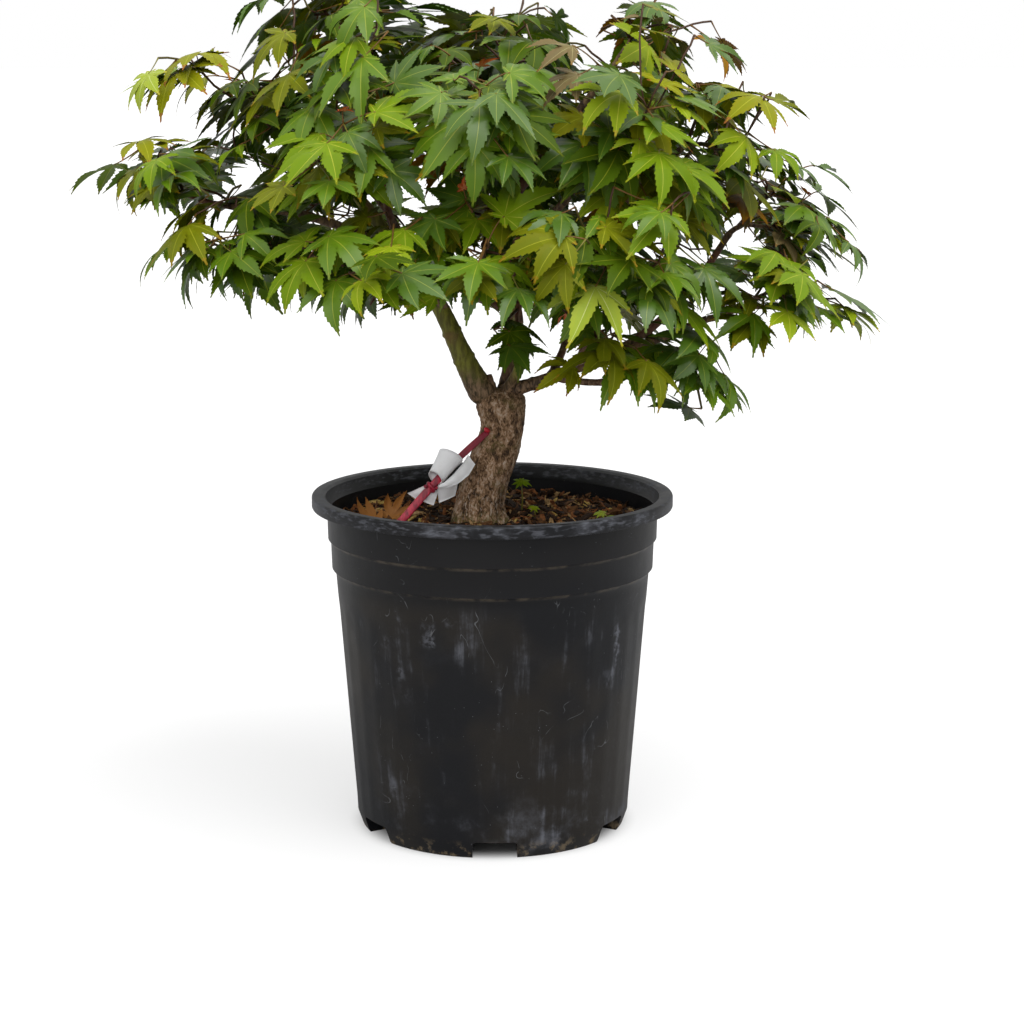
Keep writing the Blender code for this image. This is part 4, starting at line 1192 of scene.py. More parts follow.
@dataclass
class LeafModel:
    """The plain shape that stands for a leaf while it is fitted among the others."""

    reaches: tuple[Pair, ...] = (
        (0.0, 0.98), (20.0, 0.4), (42.0, 0.87), (63.0, 0.32), (84.0, 0.53), (126.0, 0.2), (165.0, 0.06))
    droop: float = 0.34

    def __post_init__(self) -> None:
        """Lay out the corners, and the points that must lie near the mass's solid."""
        half = [(math.radians(angle), reach) for angle, reach in self.reaches]
        turns = [(-angle, reach) for angle, reach in reversed(half[1:])] + half
        self.corners = [Vector((0.0, 0.0, 0.0))]
        for angle, reach in turns:
            spot = (reach * math.sin(angle), reach * math.cos(angle), -self.droop * reach**2)
            self.corners.append(Vector(spot))
        count = len(turns)
        self.faces = [(0, number, number % count + 1) for number in range(1, count + 1)]
        spokes = [corner * share for corner in self.corners[1:] for share in (0.5, 0.95)]
        self.samples = np.array([tuple(spot) for spot in [self.corners[0], *spokes]])

    def tree(self, matrix: Matrix) -> BVHTree:
        """The tree of a leaf placed by a matrix."""
        return BVHTree.FromPolygons([matrix @ corner for corner in self.corners], self.faces)


OUTLINE = (
    (-43, 420), (-39, 396), (-42, 373), (-58, 374), (-64, 396), (-75, 395), (-84, 403), (-99, 396), (-113, 401),
    (-120, 396), (-128, 415), (-140, 415), (-152, 398), (-161, 415), (-179, 427), (-191, 406), (-202, 403),
    (-210, 423), (-221, 432), (-238, 423), (-246, 438), (-288, 432), (-295, 448), (-265, 466), (-282, 469),
    (-295, 473), (-305, 488), (-316, 496), (-312, 510), (-329, 513), (-352, 522), (-351, 542), (-317, 548),
    (-263, 545), (-220, 537), (-205, 540), (-215, 551), (-228, 558), (-227, 571), (-263, 575), (-295, 572),
    (-291, 589), (-257, 598), (-237, 603), (-237, 615), (-220, 621), (-217, 637), (-201, 647), (-192, 668),
    (-174, 691), (-145, 706), (-115, 701), (-82, 674), (-73, 652), (-65, 640), (-52, 647), (-40, 634), (-9, 642),
    (37, 637), (43, 655), (63, 655), (64, 628), (66, 606), (84, 601), (90, 621), (84, 642), (104, 642), (118, 655),
    (128, 677), (152, 689), (177, 670), (191, 637), (198, 607), (194, 583), (203, 578), (224, 583), (249, 574),
    (253, 552), (247, 539), (262, 526), (268, 506), (279, 493), (264, 477), (279, 488), (315, 482), (316, 442),
    (292, 449), (269, 446), (264, 440), (289, 442), (327, 426), (324, 412), (287, 417), (297, 385), (272, 399),
    (258, 396), (242, 388), (246, 349), (223, 357), (213, 376), (200, 373), (196, 357), (211, 317), (198, 316),
    (174, 333), (165, 341), (159, 314), (143, 317), (140, 341), (143, 306), (126, 312), (113, 328), (105, 344),
    (88, 350), (82, 338), (63, 338), (53, 357), (41, 363), (30, 335), (11, 328), (-2, 350), (-10, 355), (1, 381),
    (0, 420),
)
WINDOWS = (
    (-110, 3920, 132, 269), (400, 4010, 85, 158), (810, 3640, 109, 87), (2170, 5510, 179, 126),
    (1940, 4690, 163, 174), (-2010, 5990, 117, 111), (-1960, 6210, 155, 95), (1580, 6030, 132, 95),
    (-1800, 5330, 117, 103), (2390, 5490, 70, 126), (-1680, 5990, 93, 103), (1620, 4560, 93, 79),
    (1600, 5450, 124, 79), (-2060, 4750, 109, 79), (780, 6060, 101, 111), (1230, 4590, 62, 118),
    (1180, 4760, 101, 55), (-2930, 5060, 101, 71), (-1810, 5200, 78, 95), (-1950, 5140, 85, 47),
    (1250, 3510, 54, 87), (-1180, 4920, 70, 71), (-1170, 6270, 78, 63), (1630, 5900, 117, 63), (1720, 3770, 70, 55),
    (-2640, 4960, 70, 55), (1080, 6000, 47, 71), (640, 5770, 70, 55), (-1330, 4830, 62, 55), (-170, 4590, 62, 55),
)


@dataclass
class CrownView:
    """The crown's outline and its open places, seen from the front on the plane of the pot's axis.

    The outline is in millimetres and each window, as its middle and half sizes, in tenths of them.
    """

    eye: Point = EYE
    outline: tuple[tuple[int, int], ...] = OUTLINE
    windows: tuple[tuple[int, int, int, int], ...] = WINDOWS
    corner: Pair = (-0.42, 0.22)
    cell: float = 0.0015
    size: tuple[int, int] = (560, 360)

    def __post_init__(self) -> None:
        """Work out the open places once, on a fine grid."""
        across = self.corner[0] + self.cell * np.arange(self.size[0])
        up = self.corner[1] + self.cell * np.arange(self.size[1])
        x, z = (axis.ravel() for axis in np.meshgrid(across, up, indexing="ij"))
        inside = np.zeros(len(x), dtype=bool)
        corners = [scaled(corner, MILLIMETRES) for corner in self.outline]
        for (x1, z1), (x2, z2) in zip(corners, (*corners[1:], corners[0])):
            if z1 != z2:
                inside ^= ((z1 > z) != (z2 > z)) & (x < x1 + (x2 - x1) * (z - z1) / (z2 - z1))
        for middle_x, middle_z, half_width, half_height in (scaled(window, TENTHS) for window in self.windows):
            inside &= ((x - middle_x) / half_width) ** 2 + ((z - middle_z) / half_height) ** 2 > 1.0
        self.open = ~inside.reshape(self.size)

    def blocked(self, points: np.ndarray) -> np.ndarray:
        """Whether points are seen outside the outline or in an open place.

        Args:
            points: Rows of x, y, z.

        Returns:
            True or False for each.
        """
        away = -self.eye[1] / (points[:, 1] - self.eye[1])
        across = self.eye[0] + (points[:, 0] - self.eye[0]) * away - self.corner[0]
        up = self.eye[2] + (points[:, 2] - self.eye[2]) * away - self.corner[1]
        column = np.clip(across / self.cell + 0.5, 0, self.size[0] - 1).astype(int)
        row = np.clip(up / self.cell + 0.5, 0, self.size[1] - 1).astype(int)
        return self.open[column, row]


@dataclass
class PlacedLeaf:
    """A leaf that has its place."""

    matrix: Matrix
    shape: int
    tone: int
    stalk: list[Vector]


@dataclass
class Twig:
    """A stretch of young wood."""

    points: list[Vector]
    radii: list[float]


@dataclass
class Growth:
    """The sizes by which twigs and leaves are grown.

    A pair is the least and the most, or the first and the last. What a leaf lies on is the mass's
    solid: near is how close a leaf covers it, and stray is how far off a leaf may be.
    """

    leaf_length: Pair = (0.038, 0.065)
    leaf_middle: float = 0.34
    shapes: int = 20
    hang: Pair = (-0.05, 0.6)
    lift: Pair = (0.5, 1.7)
    near: float = 0.0085
    stray: float = 0.015
    most_stray: float = 0.03
    stray_share: float = 0.34
    blocked_share: float = 0.05
    tip_share: float = 0.17
    layers: int = 3
    least_gain: float = 0.16
    rounds: int = 34
    offers: int = 14
    side_offers: int = 9
    stalk: Pair = (0.014, 0.03)
    longest_twig: float = 0.105
    pair_spacing: float = 0.021
    twig_radius: Pair = (0.0016, 0.0009)
    stem_end: float = 0.0014
    crown_middle: Vector = field(default_factory=lambda: Vector((-0.01, 0.0, 0.5)))
    crown_reach: float = 0.31
    crown_rise: float = 0.2
    top_flatness: float = 0.4
    end_offers: int = 200
    turning_cost: float = 0.75
    samples_per_area: float = 1.0 / 0.000045
    loose: float = 0.3
    curl_share: float = 0.14
    curl: Pair = (0.011, 0.019)
    crown_radii: Point = (0.34, 0.24, 0.2)
    ladder: tuple[tuple[float, int], ...] = ((0.38, 0), (0.66, 1), (0.85, 2), (0.99, 3), (1.09, 4), (1.17, 5))
    ladder_share: float = 0.85
    ladder_spread: Pair = (-0.3, 0.34)
    # chance of an olive or amber spray, falling from the crown's middle outwards: painted light shining through the
    # leaves
    painted_glow_chance: Pair = (0.46, 0.4)
    olive_leaves: float = 0.06
    bronze_chance: float = 0.015
    plum_chance: float = 0.035
    plum_from: float = 0.05
    stalk_back: Point = (0.0, -1.0, 0.15)
    stalk_bend: float = 0.3
    stalk_steps: int = 5
    stalk_radii: tuple[float, ...] = (0.00085, 0.0006, 0.00055, 0.0005, 0.0005, 0.0006)
    stalk_sides: int = 4
    twig_sides: int = 5
    twig_step: float = 0.01
    least_twig: float = 0.01
    least_share: float = 0.12
    stem_sides: int = 8
    stem_steps: int = 9
    end_depth: Pair = (0.026, 0.03)


class Crown:
    """What every mass shares: the leaves placed so far, the limbs, and the shapes."""

    def __init__(self, limbs: Iterable[bpy.types.Object], growth: Growth) -> None:
        """Take the limbs' solids, which no leaf may cross.

        Args:
            limbs: The limbs' solids.
            growth: The sizes to grow by.
        """
        self.growth = growth
        self.model = LeafModel()
        shapes = [LeafShape(random.Random(number + 1)) for number in range(growth.shapes)]
        self.shapes = sorted(shapes, key=lambda shape: sum(shape.bends))
        self.limbs = [self.tree_of(limb) for limb in limbs]
        self.middles = np.empty((0, 3))
        self.trees: list[BVHTree] = []
        self.low, self.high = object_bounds()
        self.view = CrownView()

    @staticmethod
    def tree_of(obj: bpy.types.Object) -> BVHTree:
        """A tree of a solid's faces."""
        mesh = obj.data
        return BVHTree.FromPolygons([vert.co for vert in mesh.vertices], [face.vertices for face in mesh.polygons])

    def meets(self, tree: BVHTree, middle: Vector, reach: float) -> bool:
        """Whether a shape crosses a limb or a leaf near by.

        Args:
            tree: The shape's tree.
            middle: Its middle.
            reach: How far it reaches from there.

        Returns:
            True if it crosses something.
        """
        if len(self.middles):
            apart = np.linalg.norm(self.middles - np.array(middle), axis=1)
            for index in np.nonzero(apart < reach + self.growth.leaf_length[1])[0]:
                if self.trees[index].overlap(tree):
                    return True
        return any(limb.overlap(tree) for limb in self.limbs)

    def keep(self, tree: BVHTree, middle: Vector) -> None:
        """Remember a leaf."""
        self.middles = np.concatenate([self.middles, [tuple(middle)]])
        self.trees.append(tree)


class Mass:
    """One mass: the stem from its bough's tip, finer twigs, and leaves that lie on its solid."""

    def __init__(self, limb: Limb, wood: Wood, crown: Crown, rng: random.Random) -> None:
        """Take the limb's tip and the solid's surface as what the leaves are to cover.

        Args:
            limb: The limb that it grows on.
            wood: The limbs' paths.
            crown: What the masses share.
            rng: All its chances come from this.
        """
        self.limb = limb
        self.crown = crown
        self.growth = crown.growth
        self.rng = rng
        self.middle = Vector((0.0, self.growth.leaf_middle, 0.0))
        self.leaves: list[PlacedLeaf] = []
        self.twigs: list[Twig] = []
        self.joints: list[Joint] = []
        goals = self.surface(frame["nodes"][limb.mass])
        self.goals = goals[~crown.view.blocked(goals)]
        self.cover = np.zeros(len(self.goals))
        self.near = self.points_tree(self.goals)
        self.solid = self.points_tree(goals)
        self.add_stem(wood)

    @staticmethod
    def points_tree(points: np.ndarray) -> KDTree:
        """A tree of points.

        Args:
            points: Rows of x, y, z.

        Returns:
            The tree, with each row's place as its index.
        """
        tree = KDTree(len(points))
        for index, point in enumerate(points):
            tree.insert(point, index)
        tree.balance()
        return tree

    def surface(self, obj: bpy.types.Object) -> np.ndarray:
        """Points spread evenly over a solid.

        Args:
            obj: The solid.

        Returns:
            Rows of x, y, z.
        """
        mesh = obj.data
        mesh.calc_loop_triangles()
        corners = np.array([[mesh.vertices[index].co for index in face.vertices] for face in mesh.loop_triangles])
        crossed = np.cross(corners[:, 1] - corners[:, 0], corners[:, 2] - corners[:, 0])
        areas = np.linalg.norm(crossed, axis=1) / 2
        spread = np.random.default_rng(self.rng.randrange(10**6))
        count = int(areas.sum() * self.growth.samples_per_area)
        chosen = spread.choice(len(areas), count, p=areas / areas.sum())
        u, v = spread.random(count), spread.random(count)
        over = u + v > 1.0
        u[over], v[over] = 1.0 - u[over], 1.0 - v[over]
        a, b, c = corners[chosen, 0], corners[chosen, 1], corners[chosen, 2]
        return a + u[:, None] * (b - a) + v[:, None] * (c - a)

    def jitter(self, size: float) -> Vector:
        """A random offset of up to size along each axis."""
        return Vector([self.rng.uniform(-size, size) for _ in range(3)])

    def add_wood(self, points: list[Vector], radii: list[float]) -> None:
        """Add a twig, and the joints from which others may leave."""
        self.twigs.append(Twig(points, radii))
        self.joints += [(b, (b - a).normalized(), radius) for a, b, radius in zip(points, points[1:], radii[1:])]

    def add_stem(self, wood: Wood) -> None:
        """The stem, from its bough's tip towards the mass's reach.

        Args:
            wood: The limbs' paths.
        """
        points, radii = wood.paths[self.limb.name]
        heading = (points[-1] - points[-2]).normalized()
        reach = Vector(self.limb.reach)
        end_leaf = self.growth.leaf_length[1] * 1.5
        end = points[-1].lerp(reach, max(0.25, 1.0 - end_leaf / (reach - points[-1]).length))
        middle = points[-1] + heading * (end - points[-1]).length * 0.4
        count = self.growth.stem_steps
        path = bezier(points[-1], middle, end, count)
        path = [path[0], *(point + self.jitter(0.001) for point in path[1:])]
        self.add_wood(path, tapered(radii[-1] * 0.95, self.growth.stem_end, count))

    def flatness(self, spot: Vector) -> float:
        """How level leaves lie at a spot, from 0 low inside the crown to 1 at its sides' ends and its top.

        Args:
            spot: The spot.

        Returns:
            The share.
        """
        outer = min(1.0, math.hypot(spot.x, spot.y) / self.growth.crown_reach) ** 2
        above = min(1.0, max(0.0, (spot.z - self.growth.crown_middle.z) / self.growth.crown_rise))
        return max(outer, self.growth.top_flatness * above)

    def leaf_matrix(self, way: Vector, loose: float, goal: Vector | None = None,
                    foot: Vector | None = None) -> Matrix:
        """Where a leaf lies that hangs by the plant's rule, given its middle or its foot.

        Args:
            way: The way that its twig points.
            loose: How much its turn is left to chance.
            goal: Its middle.
            foot: The end of its stalk.

        Returns:
            The leaf's matrix.
        """
        spot = goal or foot
        out = (spot - self.growth.crown_middle).normalized()
        flat = self.flatness(spot)
        lift = self.rng.uniform(*self.growth.lift) + 1.6 * flat
        normal = Vector((out.x, out.y, lift)) + self.jitter(loose)
        hang = self.rng.uniform(*self.growth.hang) * (1.15 - flat)
        forward = way + Vector((0, 0, -hang)) + self.jitter(loose)
        turn = facing(forward, normal)
        length = self.rng.uniform(*self.growth.leaf_length)
        if goal:
            foot = goal - turn @ Vector((0.0, self.growth.leaf_middle * length, 0.0))
        return Matrix.Translation(foot) @ turn.to_4x4() @ Matrix.Scale(length, 4)

    def gain(self, matrix: Matrix) -> tuple[float, np.ndarray]:
        """How much of the solid a leaf would newly cover, or less than nothing if it strays.

        Args:
            matrix: Where the leaf lies.

        Returns:
            The gain, and which goals it covers.
        """
        turned = placed(self.crown.model.samples, matrix)
        low, high = self.crown.low, self.crown.high
        if (turned < np.array(low)).any() or (turned > np.array(high)).any():
            return -1.0, self.cover
        blocked_share = self.growth.blocked_share + self.growth.tip_share * self.flatness(matrix.translation) ** 3
        if self.crown.view.blocked(turned).mean() > blocked_share:
            return -1.0, self.cover
        nearest = np.array([self.solid.find(spot)[2] for spot in turned])
        if nearest.max() > self.growth.most_stray or (nearest > self.growth.stray).mean() > self.growth.stray_share:
            return -1.0, self.cover
        found = {index for spot in turned for _, index, _ in self.near.find_range(spot, self.growth.near)}
        covered = np.array(sorted(found), dtype=int)
        wanted = np.clip(self.growth.layers - self.cover[covered], 0, None).sum()
        full = self.growth.layers * max(1, len(covered))
        return float(wanted / full), covered

    def try_leaf(self, matrix: Matrix, least: float) -> np.ndarray | None:
        """Which goals a leaf covers, if it is worth having and crosses nothing.

        Args:
            matrix: Where the leaf would lie.
            least: The least gain that will do.

        Returns:
            The places of those goals, or None.
        """
        gained, covered = self.gain(matrix)
        if gained < least:
            return None
        tree = self.crown.model.tree(matrix)
        return None if self.crown.meets(tree, matrix @ self.middle, self.growth.leaf_length[1]) else covered

    def keep_leaf(self, matrix: Matrix, covered: np.ndarray, root: Vector, tone: int) -> None:
        """Keep a leaf, with the stalk that it hangs by.

        Args:
            matrix: Where the leaf lies.
            covered: The places of the goals that it covers.
            root: Where its stalk begins.
            tone: Its tone's place in TONES.
        """
        self.crown.keep(self.crown.model.tree(matrix), matrix @ self.middle)
        self.cover[covered] += 1
        foot = matrix.translation
        back = (matrix.to_3x3() @ Vector((0, -1, 0))).normalized()
        bend = foot + back * self.growth.stalk_bend * (foot - root).length
        shape = int(len(self.crown.shapes) * self.rng.random() ** (1.0 + 1.5 * self.flatness(foot)))
        self.leaves.append(PlacedLeaf(matrix, shape, tone, bezier(root, bend, foot, self.growth.stalk_steps)))

    def pick_tone(self, spot: Vector) -> int:
        """The tone of a spray: darker inside, lighter and yellower towards the tips, with olive and amber sprays
        inside that are painted light shining through the leaves.

        Args:
            spot: The end of the spray's twig.

        Returns:
            The tone's place in TONES.
        """
        growth = self.growth
        outside = spot - growth.crown_middle
        wide, deep, high = growth.crown_radii
        share = math.sqrt((outside.x / wide) ** 2 + (outside.y / deep) ** 2 + (outside.z / high) ** 2)
        chance = self.rng.random()
        if chance < growth.bronze_chance:
            return BRONZE
        if chance < growth.plum_chance and spot.x > growth.plum_from:
            return PLUM
        # olive and amber inside the crown: painted light shining through the leaves
        if chance < growth.painted_glow_chance[0] - growth.painted_glow_chance[1] * min(1.0, share):
            return self.rng.choice((OLIVE, OLIVE, AMBER))
        scale = min(1.0, share) * growth.ladder_share + self.rng.uniform(*growth.ladder_spread)
        return next((number for limit, number in growth.ladder if scale < limit), LIME)

    def vary(self, tone: int) -> int:
        """A leaf's own tone, at times one step away from its spray's.

        Args:
            tone: The spray's tone.

        Returns:
            The leaf's tone.
        """
        if self.rng.random() < self.growth.olive_leaves:
            return OLIVE
        if tone >= OLIVE or self.rng.random() < 0.5:
            return tone
        return max(0, min(LIME, tone + self.rng.choice((-1, 1))))

    def stalk_end(self, matrix: Matrix) -> Vector:
        """Where the stalk of a placed leaf begins."""
        back = (matrix.to_3x3() @ Vector(self.growth.stalk_back)).normalized()
        return matrix.translation + back * self.rng.uniform(*self.growth.stalk)

    def add_twig(self) -> None:
        """Grow one twig with an end leaf and opposite side leaves, towards what is least covered."""
        poor = np.nonzero(self.cover <= self.cover.min() + self.rng.random() * 1.2)[0]
        for number in range(self.growth.offers):
            goal = Vector(self.goals[self.rng.choice(poor)])
            way = goal - self.nearest_joint(goal)[0]
            way.z *= 0.4
            loose = self.growth.loose + 0.3 * number / self.growth.offers
            matrix = self.leaf_matrix(way.normalized(), loose, goal=goal)
            covered = self.try_leaf(matrix, self.growth.least_gain)
            if covered is None:
                continue
            tip = self.stalk_end(matrix)
            joint = self.nearest_joint(tip)
            length = (tip - joint[0]).length
            if length > self.growth.longest_twig:
                continue
            tone = self.pick_tone(goal)
            if length < self.growth.least_twig:
                self.keep_leaf(matrix, covered, joint[0], self.vary(tone))
                return
            self.keep_leaf(matrix, covered, tip, self.vary(tone))
            self.grow_wood(joint, tip, tone)
            return

    def add_end_spray(self) -> None:
        """The spray that ends the stem, with the tip of its leaf at the mass's reach."""
        joint = self.joints[-1]
        reach = Vector(self.limb.reach)
        way = (reach - joint[0]).normalized()
        near, further = self.growth.end_depth
        for number in range(self.growth.end_offers):
            share = number / self.growth.end_offers
            goal = reach - way * (near + further * share) + self.jitter(0.004 + 0.012 * share)
            matrix = self.leaf_matrix(way, 0.15 + 0.35 * share, goal=goal)
            covered = self.try_leaf(matrix, 0.0)
            if covered is not None:
                tip = self.stalk_end(matrix)
                tone = self.pick_tone(goal)
                self.keep_leaf(matrix, covered, tip, self.vary(tone))
                self.grow_wood(joint, tip, tone)
                return

    def grow_wood(self, joint: Joint, tip: Vector, tone: int) -> None:
        """A twig from a joint to a tip, with opposite leaves along it.

        Args:
            joint: Where it starts.
            tip: The twig's tip.
            tone: The spray's tone.
        """
        root, heading, radius = joint
        length = (tip - root).length
        count = max(3, round(length / self.growth.twig_step))
        middle = root.lerp(tip, 0.45) + heading * 0.16 * length + Vector((0, 0, 0.05 * length))
        path = bezier(root, middle, tip, count)
        path = [path[0], *(point + self.jitter(0.0007) for point in path[1:-1]), path[-1]]
        first = min(radius * 0.85, self.growth.twig_radius[0] * (0.7 + 6.0 * length))
        last = self.growth.twig_radius[1]
        self.add_wood(path, tapered(first, last, count))
        pairs = int(length / self.growth.pair_spacing)
        for pair in range(pairs + 1):
            share = 0.98 - pair * self.growth.pair_spacing / length
            if share < self.growth.least_share:
                break
            spot = point_along(path, share)
            way = (point_along(path, min(1.0, share + 0.1)) - point_along(path, max(0.0, share - 0.1))).normalized()
            across = way.cross(UP).normalized()
            across = Matrix.Rotation(self.rng.uniform(-0.5, 0.5) + (pair % 2) * 0.7, 3, way) @ across
            for side in (-1, 1):
                self.add_side_leaf(spot, way, side * across, tone)
        if self.rng.random() < self.growth.curl_share:
            self.add_curl(tip, (tip - path[-2]).normalized())

    def add_curl(self, spot: Vector, way: Vector) -> None:
        """A young coral leaf at the end of a twig, if there is room for it.

        Args:
            spot: The end of the twig.
            way: The way of the twig there.
        """
        turn = facing(way + UP * 0.5 + self.jitter(0.4), UP + self.jitter(0.7))
        foot = spot + way * 0.006 + UP * 0.004
        matrix = Matrix.Translation(foot) @ turn.to_4x4() @ Matrix.Scale(self.rng.uniform(*self.growth.curl), 4)
        covered = self.try_leaf(matrix, 0.0)
        if covered is not None:
            self.keep_leaf(matrix, covered, spot, CORAL)

    def add_side_leaf(self, spot: Vector, way: Vector, across: Vector, tone: int) -> None:
        """One leaf of an opposite pair, if a turn of it fits.

        Args:
            spot: Where it leaves the twig.
            way: The way of the twig there.
            across: The way out to the leaf's side.
            tone: The spray's tone.
        """
        for number in range(self.growth.side_offers):
            loose = self.growth.loose + 0.3 * number / self.growth.side_offers
            out = (0.45 * way + across + self.jitter(loose * 0.6)).normalized()
            foot = spot + out * self.rng.uniform(*self.growth.stalk)
            matrix = self.leaf_matrix(out, loose, foot=foot)
            covered = self.try_leaf(matrix, self.growth.least_gain)
            if covered is not None:
                self.keep_leaf(matrix, covered, spot, self.vary(tone))
                return

    def cost(self, joint: Joint, spot: Vector) -> float:
        """How far a spot is from a joint, and more where a twig to it would turn back."""
        way = spot - joint[0]
        return way.length * (1.0 + self.growth.turning_cost * (1.0 - way.normalized().dot(joint[1])))

    def nearest_joint(self, spot: Vector) -> Joint:
        """The joint from which a twig to a spot costs least."""
        return min(self.joints, key=lambda joint: self.cost(joint, spot))

    def make(self) -> None:
        """The mass's two pieces: its leaves, and its twigs and stalks."""
        leaves = Builder()
        for leaf in self.leaves:
            shape = self.crown.shapes[leaf.shape]
            tone = TONES[leaf.tone]
            slots = np.array([leaves.slot(tone.finish(part)) for part in LeafPart])
            leaves.add(placed(shape.points, leaf.matrix), shape.triangles, slots[shape.face_parts])
        settle(leaves.piece(self.limb.mass.replace("_leaves", "_foliage")), "foliage", self.limb.mass)
        twigs = Builder()
        for number, twig in enumerate(self.twigs):
            finish = BROWN_RIND if number == 0 else GREEN_TWIG if number % 4 == 3 else TWIG_RIND
            sides = self.growth.stem_sides if number == 0 else self.growth.twig_sides
            twigs.add(*tube(twig.points, twig.radii, sides), twigs.slot(finish))
        for number, leaf in enumerate(self.leaves):
            finish = STALK_GREEN if number % 3 == 2 else STALK_SKIN
            twigs.add(*tube(leaf.stalk, self.growth.stalk_radii, self.growth.stalk_sides), twigs.slot(finish))
        settle(twigs.piece(self.limb.mass.replace("_leaves", "_twigs")), "bark", self.limb.mass)


@dataclass
class Foliage:
    """Every mass of leaves, grown a twig at a time in rounds so that neighbours share the room."""

    wood: Wood
    growth: Growth = field(default_factory=Growth)

    def make(self) -> None:
        """Grow the masses, then make their pieces."""
        limbs = [frame["nodes"]["trunk"], *(frame["nodes"][limb.name] for limb in LIMBS)]
        crown = Crown(limbs, self.growth)
        masses = [Mass(limb, self.wood, crown, random.Random(number + 1)) for number, limb in enumerate(LIMBS)]
        for mass in masses:
            mass.add_end_spray()
        for _ in range(self.growth.rounds):
            for mass in masses:
                mass.add_twig()
        for mass in masses:
            log.info("%s: %d leaves, %d twigs, cover %.2f", mass.limb.mass, len(mass.leaves),
                     len(mass.twigs), float((mass.cover > 0).mean()))
            mass.make()
        log.info("leaves in all: %d", len(crown.trees))


# ---- pot and soil


